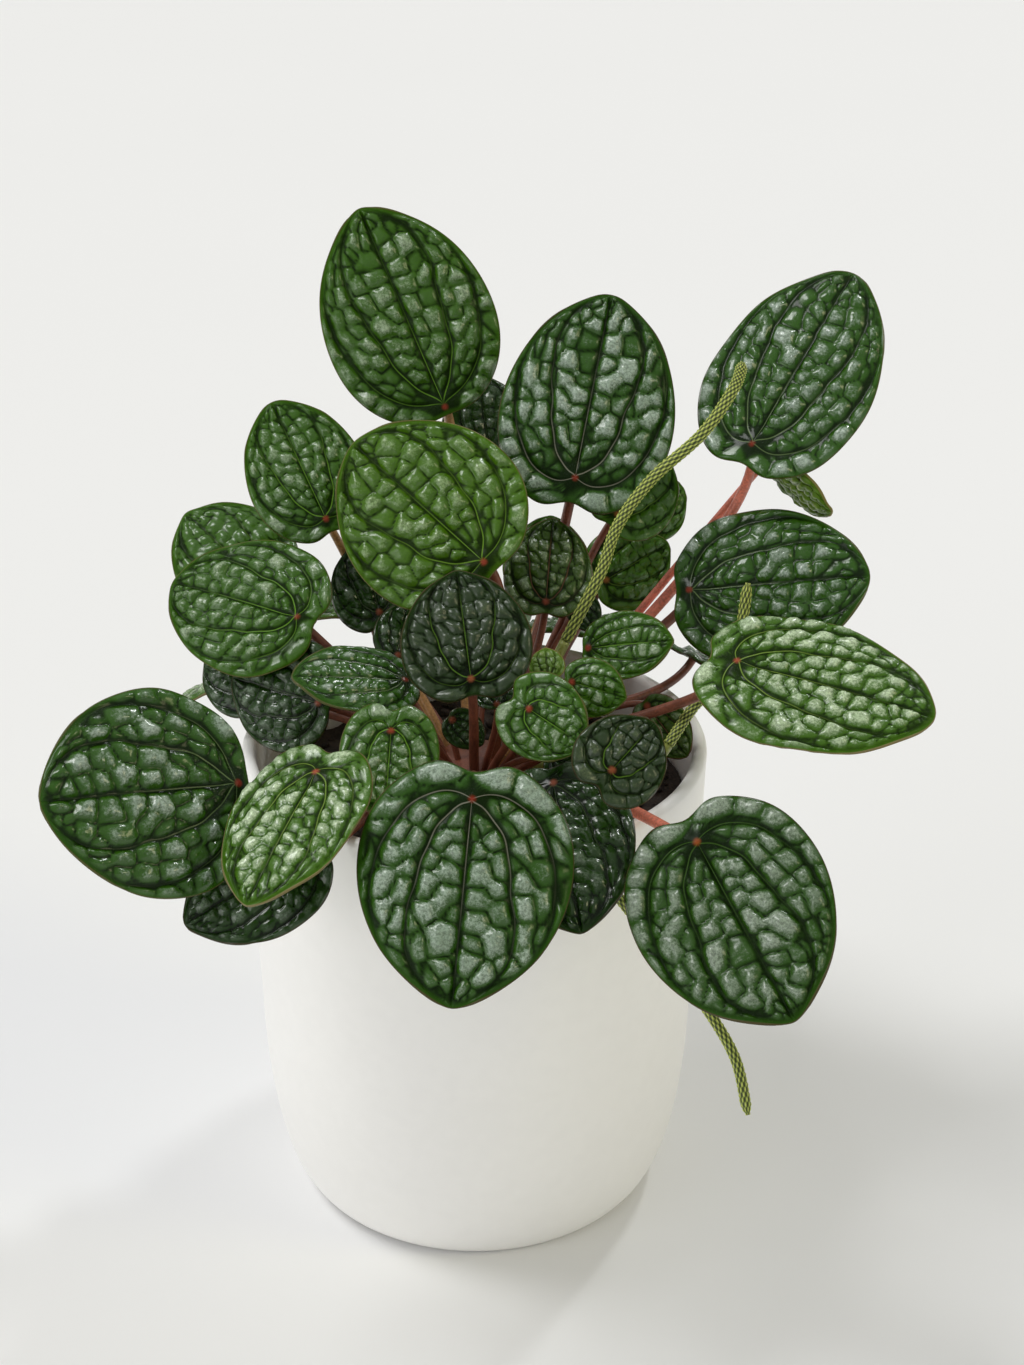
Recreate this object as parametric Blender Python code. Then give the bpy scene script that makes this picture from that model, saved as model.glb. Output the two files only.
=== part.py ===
"""Ripple peperomia growing in a plain white pot.

Metres, +Z up. The origin is the centre of the pot's flat base, and the picture is taken from the -Y side.
Each leaf is placed by its stalk joint and its tip as they are seen in the picture, its distance from the
eye, and its real length and width. One crown carries every stalk and every flower spike.
"""

import math
from collections import namedtuple

import bmesh
import bpy
import numpy as np
from mathutils import Matrix, Vector

# Pot
POT_HEIGHT = 0.140
POT_RIM_RADIUS = 0.065
POT_WAIST_RADIUS = 0.0627
POT_WAIST_HEIGHT = 0.060
POT_FOOT_RADIUS = 0.0495
POT_WALL = 0.004
POT_FLOOR = 0.006
POT_FOOT_INSIDE = 0.015
TURN_STEPS = 30

# Soil and the crown that stands in its plain hole
SOIL_HEIGHT = 0.122
SOIL_HOLE_DEPTH = 0.018
CROWN_RADIUS = 0.016
CROWN_RISE = 0.014
CROWN_ROOT_RADIUS = 0.012
GAP = 0.0003
MERGE_DISTANCE = 5e-6

# Eye of the picture: its place, its tilt below the horizon and its focal length in picture pixels
EYE = Vector((0.0105, -0.5748, 0.4435))
EYE_TILT = math.radians(26.47)
EYE_FOCAL_PX = 2320.5
PICTURE_CENTRE_PX = (512.0, 682.5)

# Leaf blades. EGG_BASE and EGG_SHARE make a blade widest towards its joint, and the two spreads are angles
# round its outline.
BLADE_THICKNESS = 0.0008
NOTCH_SHARE = 0.35
NOTCH_SPREAD = 0.30
POINT_SPREAD = 0.60
EGG_BASE = 0.982
EGG_SHARE = 0.14
MIDRIB_VALLEY = 0.35
RIPPLE_SHARE = 0.022

# Where the veins run across half a blade, from the midrib at 0 to the edge at 1, and rows from joint to tip
VEINS = {3: (0.0, 0.42, 0.80, 1.0), 2: (0.0, 0.42, 0.80, 1.0), 1: (0.0, 0.5, 1.0)}
STATIONS = {3: 7, 2: 6, 1: 5}
COLUMNS_PER_RIB = 2

# Stalks. The farther out its leaf is, the farther from the crown's middle a stalk starts and the more it
# leans out.
ROOT_INNER = 0.003
ROOT_SPREAD = 0.008
ROOT_RISE = 0.004
FULL_REACH = 0.11
LEAN_INNER = 0.25
LEAN_SPREAD = 0.9
LEAVING_HANDLE = 0.45
ARRIVING_HANDLE = 0.30
ARRIVING_LEAN = 0.35
STALK_BASE_SHARE = 1.15
STALK_TAPER = 0.2
STALK_END_SHARE = 0.9
STALK_SEGMENTS = 5
STALK_SIDES_RESOLUTION = 1
STALK_STUB = 0.0016
STALK_RADIUS = 0.0007
STALK_RADIUS_SHARE = 0.016

# Flower spikes
SPIKE_SIDES = 8
SPIKE_RINGS = 22
SPIKE_KNOB = 0.0003
SPIKE_TIP_SHARE = 0.55
SPIKE_TIP_STEP = 0.15
SPIKE_STALK_SHARE = 0.95

LEAF_GREEN = (0.045, 0.13, 0.035, 1.0)
STALK_BROWN = (0.22, 0.07, 0.035, 1.0)
SPIKE_GREEN = (0.22, 0.32, 0.06, 1.0)
POT_WHITE = (0.80, 0.79, 0.74, 1.0)
SOIL_BROWN = (0.025, 0.018, 0.012, 1.0)

# joint_px and tip_px: where the stalk joint and the tip are seen. eye: distance of the joint from the eye,
# along its line of aim. length: joint to tip. width: across the blade. lobe: share of the length that
# reaches back past the joint. lean: +1 if the tip is nearer the eye than the joint, -1 if farther.
# roll: degrees that the blade turns about its midrib from facing the eye. dome: how far the sides bend
# down, as a share of the width. curl: the same for the tip, as a share of the length.
# grade: 3 large, 2 middling, 1 small. bow: sideways shift of the stalk's middle, x, y and z.
# point: how far the outline draws in beside the tip.
Leaf = namedtuple(
    "Leaf",
    "name joint_px tip_px eye length width lobe lean roll dome curl grade bow point",
    defaults=((0.0, 0.0, 0.0), 0.44),
)

LEAVES = (
    Leaf("front_centre", (472, 799), (452, 1005), 0.560, 0.050, 0.053, 0.22, 1, 0, 0.10, 0.10, 3),
    Leaf("front_right", (697, 842), (791, 1015), 0.572, 0.051, 0.0505, 0.22, 1, 0, 0.08, 0.08, 3),
    Leaf("front_dark", (553, 783), (580, 925), 0.592, 0.041, 0.037, 0.18, 1, 0, 0.08, 0.10, 2,
         (-0.004, 0, 0)),
    Leaf("front_left_light", (316, 772), (240, 893), 0.572, 0.040, 0.036, 0.28, 1, 38, 0.06, 0.10, 2,
         (-0.008, 0, -0.004)),
    Leaf("left_big", (238, 783), (50, 795), 0.584, 0.051, 0.055, 0.10, 1, 15, 0.08, 0.10, 3, point=0.30),
    Leaf("left_low", (314, 850), (181, 920), 0.583, 0.037, 0.031, 0.10, -1, 20, 0.08, 0.10, 2,
         (0, 0, 0.004)),
    Leaf("left_dark", (318, 703), (228, 676), 0.622, 0.027, 0.032, 0.20, -1, 0, 0.08, 0.10, 2),
    Leaf("left_small", (405, 680), (296, 668), 0.614, 0.031, 0.025, 0.15, 1, 45, 0.06, 0.10, 1),
    Leaf("left_mid", (297, 617), (167, 574), 0.628, 0.041, 0.042, 0.20, -1, 20, 0.08, 0.10, 3, point=0.25),
    Leaf("left_behind", (265, 588), (183, 507), 0.668, 0.036, 0.036, 0.15, -1, 10, 0.06, 0.10, 1),
    Leaf("left_sliver", (262, 692), (202, 655), 0.645, 0.022, 0.022, 0.15, -1, 0, 0.06, 0.10, 1),
    Leaf("left_upper", (326, 519), (270, 399), 0.650, 0.038, 0.034, 0.16, -1, 0, 0.08, 0.08, 2,
         (0, 0.004, 0), point=0.25),
    Leaf("mid_left_dark", (379, 612), (362, 537), 0.655, 0.022, 0.025, 0.28, -1, 0, 0.06, 0.08, 1),
    Leaf("top_left", (445, 407), (358, 206), 0.664, 0.062, 0.050, 0.06, -1, 0, 0.08, 0.06, 3),
    Leaf("centre_upper", (484, 562), (349, 440), 0.622, 0.050, 0.052, 0.12, -1, 0, 0.08, 0.08, 3,
         point=0.25),
    Leaf("centre_dark", (471, 679), (456, 566), 0.604, 0.031, 0.035, 0.22, -1, 0, 0.06, 0.10, 2,
         (0, -0.004, 0)),
    Leaf("top_centre", (575, 478), (612, 291), 0.636, 0.053, 0.049, 0.20, -1, 0, 0.08, 0.06, 3,
         (0, 0.004, 0), point=0.25),
    Leaf("top_gap", (492, 470), (478, 372), 0.685, 0.030, 0.028, 0.15, -1, 0, 0.06, 0.08, 1),
    Leaf("right_top", (752, 444), (851, 266), 0.640, 0.058, 0.048, 0.16, -1, -20, 0.08, 0.06, 3,
         point=0.25),
    Leaf("right_edge_on", (768, 462), (823, 518), 0.655, 0.026, 0.024, 0.15, 1, 72, 0.06, 0.10, 1,
         (0, 0.004, 0)),
    Leaf("right_mid", (689, 590), (866, 570), 0.645, 0.050, 0.046, 0.12, 1, -20, 0.08, 0.08, 3, point=0.25),
    Leaf("right_low", (737, 661), (935, 705), 0.605, 0.053, 0.045, 0.22, 1, -40, 0.08, 0.08, 3,
         (-0.004, 0, 0), point=0.25),
    Leaf("mid_brown", (546, 602), (553, 515), 0.639, 0.026, 0.025, 0.20, -1, 0, 0.10, 0.06, 2),
    Leaf("right_inner_high", (617, 514), (668, 453), 0.652, 0.023, 0.026, 0.25, -1, 0, 0.06, 0.08, 1),
    Leaf("right_inner_low", (606, 580), (670, 542), 0.672, 0.022, 0.025, 0.25, -1, 0, 0.06, 0.08, 1,
         (0.004, -0.006, 0)),
    Leaf("right_inner_far", (640, 512), (686, 488), 0.680, 0.016, 0.022, 0.25, -1, 0, 0.06, 0.08, 1),
    Leaf("bright_back", (544, 594), (552, 512), 0.674, 0.026, 0.026, 0.15, -1, 0, 0.06, 0.08, 1),
    Leaf("tiny_dark", (578, 600), (594, 630), 0.652, 0.010, 0.010, 0.20, 1, 0, 0.06, 0.08, 1),
    Leaf("right_small", (588, 648), (671, 638), 0.630, 0.024, 0.020, 0.10, 1, -20, 0.06, 0.08, 2),
    Leaf("curled_young", (572, 682), (622, 697), 0.610, 0.015, 0.016, 0.25, 1, 0, 0.20, 0.20, 1),
    Leaf("centre_right", (529, 709), (583, 745), 0.595, 0.018, 0.023, 0.50, 1, 0, 0.06, 0.08, 2),
    Leaf("right_of_centre", (612, 770), (656, 721), 0.574, 0.017, 0.024, 0.50, -1, 0, 0.06, 0.06, 2,
         (0.016, 0.008, 0.008)),
    Leaf("rim_right", (647, 706), (688, 758), 0.642, 0.018, 0.015, 0.15, 1, 0, 0.08, 0.10, 1),
    Leaf("heart_left", (391, 731), (385, 815), 0.594, 0.024, 0.026, 0.40, 1, 0, 0.12, 0.10, 2),
    Leaf("glossy_small", (452, 720), (484, 745), 0.638, 0.011, 0.011, 0.20, 1, 0, 0.06, 0.10, 1),
    Leaf("young_yellow", (548, 676), (545, 646), 0.621, 0.009, 0.010, 0.15, -1, 0, 0.10, 0.10, 1),
    Leaf("under_centre", (497, 704), (496, 668), 0.622, 0.011, 0.013, 0.20, -1, 0, 0.06, 0.10, 1),
    Leaf("behind_centre", (398, 655), (408, 600), 0.640, 0.016, 0.016, 0.15, -1, 0, 0.06, 0.10, 1),
    Leaf("rim_front", (552, 758), (600, 778), 0.604, 0.014, 0.013, 0.15, 1, 0, 0.06, 0.10, 1),
)

# Leaves on the side that the picture hides. bearing: degrees round from +X, seen from above. reach and
# height: where the joint is. droop: degrees that the midrib falls below level. The rest is as above.
RearLeaf = namedtuple(
    "RearLeaf",
    "name bearing reach height droop length width lobe roll dome curl grade bow point",
    defaults=((0.0, 0.0, 0.0), 0.44),
)

REAR_LEAVES = (
    RearLeaf("rear_mid", 96, 0.074, 0.172, 8, 0.042, 0.042, 0.18, -8, 0.08, 0.10, 2),
    RearLeaf("rear_left", 125, 0.054, 0.160, 8, 0.040, 0.038, 0.18, 6, 0.08, 0.10, 1),
    RearLeaf("rear_right", 62, 0.058, 0.150, 12, 0.040, 0.038, 0.18, -6, 0.08, 0.10, 1),
    RearLeaf("rear_low", 94, 0.076, 0.149, 38, 0.046, 0.046, 0.20, 0, 0.08, 0.10, 2, (0, 0, 0.004)),
    RearLeaf("rear_far_left", 158, 0.070, 0.150, 28, 0.040, 0.038, 0.20, 8, 0.08, 0.10, 1),
    RearLeaf("rear_far_right", 28, 0.072, 0.150, 24, 0.042, 0.040, 0.20, -8, 0.08, 0.10, 1),
)

# Flower spikes: picture points with their distances from the eye, from where the stalk ends to the tip
Spike = namedtuple("Spike", "name points_px eyes radius bow")

SPIKES = (
    Spike("tall", ((566, 640), (600, 574), (618, 525), (652, 479), (702, 434), (734, 388), (743, 362)),
          (0.634, 0.629, 0.626, 0.622, 0.618, 0.615, 0.613), 0.0016, (0, 0, 0)),
    Spike("right", ((668, 745), (690, 712), (716, 680), (738, 640), (748, 583)),
          (0.622, 0.626, 0.630, 0.631, 0.629), 0.0015, (0, 0, 0)),
    Spike("hanging", ((600, 874), (635, 918), (672, 965), (704, 1005), (735, 1058), (748, 1115)),
          (0.590, 0.590, 0.589, 0.588, 0.584, 0.580), 0.0014, (0, 0, 0)),
)


def clear_scene():
    for obj in list(bpy.data.objects):
        bpy.data.objects.remove(obj, do_unlink=True)


def make_material(name, colour, roughness):
    material = bpy.data.materials.new(name)
    material.use_nodes = True
    shader = material.node_tree.nodes["Principled BSDF"]
    shader.inputs["Base Color"].default_value = colour
    shader.inputs["Roughness"].default_value = roughness
    shader.inputs["Metallic"].default_value = 0.0
    return material


def object_from(bm, name, material):
    bmesh.ops.recalc_face_normals(bm, faces=bm.faces)
    mesh = bpy.data.meshes.new(name)
    bm.to_mesh(mesh)
    bm.free()
    mesh.materials.append(material)
    obj = bpy.data.objects.new(name, mesh)
    bpy.context.scene.collection.objects.link(obj)
    return obj


def turned(name, profile, material):
    """A solid turned about Z from (radius, height) points that start and end on the axis."""
    bm = bmesh.new()
    verts = [bm.verts.new((radius, 0.0, height)) for radius, height in profile]
    edges = [bm.edges.new(pair) for pair in zip(verts, verts[1:])]
    bmesh.ops.spin(bm, geom=verts + edges, cent=(0, 0, 0), axis=(0, 0, 1), angle=math.tau,
                   steps=TURN_STEPS, use_merge=True)
    bmesh.ops.remove_doubles(bm, verts=bm.verts, dist=MERGE_DISTANCE)
    obj = object_from(bm, name, material)
    obj.data.shade_smooth()
    obj.data.set_sharp_from_angle(angle=math.radians(35))
    return obj


def pot_radius(height):
    """Outside radius: an upright wall above the waist and a long oval curve down to the foot."""
    if height >= POT_WAIST_HEIGHT:
        share = (height - POT_WAIST_HEIGHT) / (POT_HEIGHT - POT_WAIST_HEIGHT)
        return POT_WAIST_RADIUS + share * (POT_RIM_RADIUS - POT_WAIST_RADIUS)
    drop = 1.0 - height / POT_WAIST_HEIGHT
    return POT_FOOT_RADIUS + (POT_WAIST_RADIUS - POT_FOOT_RADIUS) * math.sqrt(1.0 - drop * drop)


def make_pot(material):
    foot_heights = [POT_WAIST_HEIGHT * share for share in (0.0, 0.03, 0.12, 0.30, 0.60, 1.0)]
    outside = [(0.0, 0.0)] + [(pot_radius(height), height) for height in foot_heights]
    lip = POT_WALL / 2
    lip_centre = Vector((POT_RIM_RADIUS - lip, POT_HEIGHT - lip))
    rounded = [
        (lip_centre.x + lip * math.cos(angle), lip_centre.y + lip * math.sin(angle))
        for angle in (0.0, math.pi / 4, math.pi / 2, 3 * math.pi / 4, math.pi)
    ]
    inside = [(pot_radius(height) - POT_WALL, height) for height in (POT_WAIST_HEIGHT, POT_FOOT_INSIDE)]
    floor = [(POT_FOOT_RADIUS - POT_WALL, POT_FLOOR), (0.0, POT_FLOOR)]
    return turned("pot", outside + rounded + inside + floor, material)


def make_soil(material):
    wall_gap = POT_WALL + 2 * GAP
    hole = CROWN_ROOT_RADIUS + 2 * GAP
    bottom = POT_FLOOR + GAP
    levels = (POT_FOOT_INSIDE, POT_WAIST_HEIGHT, SOIL_HEIGHT)
    side = [(pot_radius(height) - wall_gap, height) for height in levels]
    swells = ((0.052, 0.0015), (0.042, -0.0005), (0.032, 0.0012), (0.022, 0.0), (hole, 0.0004))
    top = [(radius, SOIL_HEIGHT + rise) for radius, rise in swells]
    hole_floor = SOIL_HEIGHT - SOIL_HOLE_DEPTH
    profile = [(0.0, bottom), (POT_FOOT_RADIUS - wall_gap, bottom)] + side + top
    return turned("soil", profile + [(hole, hole_floor), (0.0, hole_floor)], material)


def seen_at(pixel, eye_distance):
    """The point that the picture shows at this pixel, this far from the eye along its line of aim."""
    across = (pixel[0] - PICTURE_CENTRE_PX[0]) / EYE_FOCAL_PX
    up = (PICTURE_CENTRE_PX[1] - pixel[1]) / EYE_FOCAL_PX
    aim = Vector((0.0, math.cos(EYE_TILT), -math.sin(EYE_TILT)))
    rise = Vector((0.0, math.sin(EYE_TILT), math.cos(EYE_TILT)))
    return EYE + (aim + Vector((across, 0.0, 0.0)) + rise * up) * eye_distance


def frame_from(joint, midrib, facing, roll):
    """Matrix with the joint at its origin, +X along the midrib, +Z out of the upper face."""
    normal = (facing - midrib * facing.dot(midrib)).normalized()
    normal = Matrix.Rotation(math.radians(roll), 3, midrib) @ normal
    frame = Matrix((midrib, normal.cross(midrib), normal)).transposed().to_4x4()
    frame.translation = joint
    return frame


def leaf_frame(leaf):
    if isinstance(leaf, RearLeaf):
        return rear_leaf_frame(leaf)
    return seen_leaf_frame(leaf)


def rear_leaf_frame(leaf):
    outward = Vector((math.cos(math.radians(leaf.bearing)), math.sin(math.radians(leaf.bearing)), 0.0))
    up = Vector((0.0, 0.0, 1.0))
    joint = outward * leaf.reach + up * leaf.height
    fall = math.radians(leaf.droop)
    return frame_from(joint, outward * math.cos(fall) - up * math.sin(fall), up, leaf.roll)


def seen_leaf_frame(leaf):
    joint = seen_at(leaf.joint_px, leaf.eye)
    ray = (seen_at(leaf.tip_px, 1.0) - EYE)
    to_joint = joint - EYE
    nearest = to_joint.dot(ray) / ray.length_squared
    spare = leaf.length ** 2 - (to_joint - ray * nearest).length_squared
    reach = math.sqrt(max(spare, 0.0)) / ray.length
    midrib = (EYE + ray * (nearest - leaf.lean * reach) - joint).normalized()
    return frame_from(joint, midrib, EYE - joint, leaf.roll)


def outline(leaf, angle):
    """Edge of the blade at an angle from the tip (0) round to the notch behind the joint (pi)."""
    back = leaf.lobe * leaf.length
    middle = (leaf.length - back) / 2
    half = (leaf.length + back) / 2
    notch = NOTCH_SHARE * back * math.exp(-(((math.pi - angle) / NOTCH_SPREAD) ** 2))
    pointed = 1.0 - leaf.point * math.exp(-((angle / POINT_SPREAD) ** 2))
    egg = EGG_BASE - EGG_SHARE * math.cos(angle)
    return middle + half * math.cos(angle) + notch, leaf.width / 2 * math.sin(angle) * egg * pointed


def blade_height(leaf, x, y):
    """Large form of the blade: sides and tip bent down, with a shallow valley at the midrib."""
    side = 2.0 * y / leaf.width
    along = x / leaf.length
    bend = leaf.dome * leaf.width * (side * side - MIDRIB_VALLEY * abs(side))
    return -bend - leaf.curl * leaf.length * along * along


def blade_point(leaf, column, row):
    """A point on the blade, in the row-th row from the joint and at a column counted out from the midrib.

    Columns run from the joint to the tip, as the veins do, and the blade swells up between the veins.
    """
    veins = VEINS[leaf.grade]
    rib = abs(column) / COLUMNS_PER_RIB
    reach = float(np.interp(rib, range(len(veins)), veins))
    share = row / STATIONS[leaf.grade]
    edge_x, edge_y = outline(leaf, math.pi * (1.0 - share))
    midrib_x = leaf.length * share
    x = midrib_x + (edge_x - midrib_x) * reach
    y = math.copysign(edge_y * reach, column)
    swell = math.sqrt(math.sin(math.pi * share))
    pucker = 0.75 + 0.25 * math.cos(math.pi * (row + column))
    ripple = RIPPLE_SHARE * leaf.width * (math.sin(math.pi * (rib % 1.0)) - 0.5) * swell * pucker
    return Vector((x, y, blade_height(leaf, x, y) + ripple))


def make_blade(leaf, material):
    rows = STATIONS[leaf.grade]
    columns = COLUMNS_PER_RIB * (len(VEINS[leaf.grade]) - 1)
    bm = bmesh.new()
    bmesh.ops.create_grid(bm, x_segments=2 * columns, y_segments=rows, size=1.0)
    for vert in bm.verts:
        row = round((vert.co.y + 1.0) / 2.0 * rows)
        vert.co = blade_point(leaf, round(vert.co.x * columns), row)
    bmesh.ops.remove_doubles(bm, verts=bm.verts, dist=MERGE_DISTANCE)
    bmesh.ops.triangulate(bm, faces=bm.faces)
    bmesh.ops.transform(bm, matrix=leaf_frame(leaf), verts=bm.verts)
    obj = object_from(bm, "leaf_" + leaf.name, material)
    obj.data.shade_smooth()
    thicken = obj.modifiers.new("thickness", "SOLIDIFY")
    thicken.thickness = BLADE_THICKNESS
    thicken.offset = 0.0
    return obj


def bezier(points, share):
    a, b, c, d = points
    rest = 1.0 - share
    return a * rest ** 3 + b * (3 * rest * rest * share) + c * (3 * rest * share * share) + d * share ** 3


def tube(name, points, radii, collection):
    """A round stem along the points, closed at both ends."""
    curve = bpy.data.curves.new(name, "CURVE")
    curve.dimensions = "3D"
    curve.bevel_depth = 1.0
    curve.bevel_resolution = STALK_SIDES_RESOLUTION
    curve.use_fill_caps = True
    spline = curve.splines.new("POLY")
    spline.points.add(len(points) - 1)
    for slot, point, radius in zip(spline.points, points, radii):
        slot.co = (*point, 1.0)
        slot.radius = radius
    obj = bpy.data.objects.new(name, curve)
    collection.objects.link(obj)
    bpy.context.view_layer.update()
    mesh = bpy.data.meshes.new_from_object(obj.evaluated_get(bpy.context.evaluated_depsgraph_get()))
    bpy.data.objects.remove(obj)
    bm = bmesh.new()
    bm.from_mesh(mesh)
    bmesh.ops.remove_doubles(bm, verts=bm.verts, dist=MERGE_DISTANCE)
    bmesh.ops.recalc_face_normals(bm, faces=bm.faces)
    bm.to_mesh(mesh)
    bm.free()
    made = bpy.data.objects.new(name, mesh)
    collection.objects.link(made)
    return made


def root_of(target):
    """Where a stalk leaves the crown on its way to the target, and the direction it leaves in."""
    outward = Vector((target.x, target.y, 0.0))
    spread = min(outward.length / FULL_REACH, 1.0)
    heading = outward.normalized()
    start = heading * (ROOT_INNER + ROOT_SPREAD * spread) + Vector((0.0, 0.0, SOIL_HEIGHT + ROOT_RISE))
    leaving = (heading * (LEAN_INNER + LEAN_SPREAD * spread) + Vector((0.0, 0.0, 1.0))).normalized()
    return start, leaving


def stalk_points(end, arriving, bow):
    start, leaving = root_of(end)
    span = (end - start).length
    leaving_handle = start + leaving * span * LEAVING_HANDLE + Vector(bow)
    arriving_handle = end - arriving * span * ARRIVING_HANDLE + Vector(bow)
    handles = (start, leaving_handle, arriving_handle, end)
    return [bezier(handles, step / STALK_SEGMENTS) for step in range(STALK_SEGMENTS + 1)]


def leaf_stalk_path(leaf):
    """Points and radii of a leaf's stalk, which ends square to the blade, just under it."""
    frame = leaf_frame(leaf)
    normal = frame.col[2].to_3d()
    midrib = frame.col[0].to_3d()
    end = frame.translation - normal * (BLADE_THICKNESS / 2 + GAP)
    arriving = (normal + midrib * ARRIVING_LEAN).normalized()
    points = stalk_points(end - normal * STALK_STUB, arriving, leaf.bow) + [end]
    radius = STALK_RADIUS + STALK_RADIUS_SHARE * leaf.width
    shares = [STALK_BASE_SHARE - STALK_TAPER * step / STALK_SEGMENTS for step in range(STALK_SEGMENTS)]
    return points, [radius * share for share in shares + [STALK_END_SHARE] * 2]


def make_leaf_stalk(leaf, collection):
    points, radii = leaf_stalk_path(leaf)
    return tube("stalk_" + leaf.name, points, radii, collection)


def spline_through(points, count):
    """Evenly counted points on a smooth curve through the given ones."""
    padded = [points[0] * 2 - points[1], *points, points[-1] * 2 - points[-2]]
    made = []
    for step in range(count):
        place = step / (count - 1) * (len(points) - 1)
        i = min(int(place), len(points) - 2)
        t = place - i
        a, b, c, d = padded[i:i + 4]
        made.append(((b * 2) + (c - a) * t + (a * 2 - b * 5 + c * 4 - d) * t * t
                     + (b * 3 - a - c * 3 + d) * t ** 3) / 2)
    return made


def spike_path(spike):
    return [seen_at(pixel, eye) for pixel, eye in zip(spike.points_px, spike.eyes)]


def spike_stalk_path(spike):
    path = spike_path(spike)
    arriving = (path[1] - path[0]).normalized()
    end = path[0] - arriving * GAP
    return stalk_points(end - arriving * STALK_STUB, arriving, spike.bow) + [end]


def make_spike_stalk(spike, collection):
    points = spike_stalk_path(spike)
    radii = [spike.radius * SPIKE_STALK_SHARE] * len(points)
    return tube("stalk_spike_" + spike.name, points, radii, collection)


def make_spike(spike, material):
    """A flower spike: a slim rod whose surface is raised in staggered knobs, narrowing at its tip."""
    path = spline_through(spike_path(spike), SPIKE_RINGS)
    bm = bmesh.new()
    rings = []
    side = Vector((0.0, 0.0, 1.0))
    for index, point in enumerate(path):
        ahead = (path[min(index + 1, SPIKE_RINGS - 1)] - path[max(index - 1, 0)]).normalized()
        side = (side - ahead * side.dot(ahead)).normalized()
        other = ahead.cross(side)
        taper = min(1.0, SPIKE_TIP_SHARE + SPIKE_TIP_STEP * (SPIKE_RINGS - 1 - index))
        ring = []
        for step in range(SPIKE_SIDES):
            angle = math.tau * step / SPIKE_SIDES
            radius = spike.radius * taper + SPIKE_KNOB * (1 if (step + index) % 2 else -1)
            ring.append(bm.verts.new(point + (side * math.cos(angle) + other * math.sin(angle)) * radius))
        rings.append([bm.edges.new((ring[i - 1], ring[i])) for i in range(SPIKE_SIDES)])
    for lower, upper in zip(rings, rings[1:]):
        bmesh.ops.bridge_loops(bm, edges=lower + upper)
    bmesh.ops.holes_fill(bm, edges=rings[0] + rings[-1], sides=SPIKE_SIDES)
    bmesh.ops.triangulate(bm, faces=bm.faces)
    obj = object_from(bm, "spike_" + spike.name, material)
    obj.data.shade_smooth()
    return obj


def make_crown(material):
    """The short stem that stands in the soil, joined with every stalk into one body."""
    base = SOIL_HEIGHT - SOIL_HOLE_DEPTH + GAP
    top = SOIL_HEIGHT + CROWN_RISE
    profile = [(0.0, base), (CROWN_ROOT_RADIUS, base), (CROWN_ROOT_RADIUS, SOIL_HEIGHT + 0.0025),
               (CROWN_RADIUS, SOIL_HEIGHT + 0.005), (CROWN_RADIUS * 0.85, top - 0.004), (0.0, top)]
    crown = turned("crown", profile, material)
    stalks = bpy.data.collections.new("stalks")
    bpy.context.scene.collection.children.link(stalks)
    for leaf in LEAVES + REAR_LEAVES:
        make_leaf_stalk(leaf, stalks)
    for spike in SPIKES:
        make_spike_stalk(spike, stalks)
    join = crown.modifiers.new("join", "BOOLEAN")
    join.operation = "UNION"
    join.operand_type = "COLLECTION"
    join.collection = stalks
    join.solver = "MANIFOLD"
    bpy.context.view_layer.update()
    joined = bpy.data.meshes.new_from_object(crown.evaluated_get(bpy.context.evaluated_depsgraph_get()))
    crown.modifiers.clear()
    crown.data = joined
    for obj in list(stalks.objects):
        bpy.data.objects.remove(obj)
    bpy.data.collections.remove(stalks)
    return crown


def main():
    clear_scene()
    leaf_green = make_material("leaf_green", LEAF_GREEN, 0.35)
    make_pot(make_material("pot_white", POT_WHITE, 0.45))
    make_soil(make_material("soil_brown", SOIL_BROWN, 0.95))
    make_crown(make_material("stalk_brown", STALK_BROWN, 0.45))
    spike_green = make_material("spike_green", SPIKE_GREEN, 0.55)
    for spike in SPIKES:
        make_spike(spike, spike_green)
    for leaf in LEAVES + REAR_LEAVES:
        make_blade(leaf, leaf_green)


main()
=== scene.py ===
"""Ripple peperomia in a plain white pot: its fine leaves, stalks, flower spikes, pot, soil and stage.

Laid out as an add-on and run as a script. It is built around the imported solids, in metres, +Z up, with the
centre of the pot's base as the origin. The leaf and spike tables repeat those of the solids, and each blade
here keeps its solid's outline and bend, and adds the veins and the puckers between them.
"""

import math
from collections import namedtuple

import bmesh
import bpy
import numpy as np
from bpy.props import FloatProperty, FloatVectorProperty, IntProperty, PointerProperty
from bpy.types import Operator, Panel, PropertyGroup
from mathutils import Matrix, Vector, noise


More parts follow.
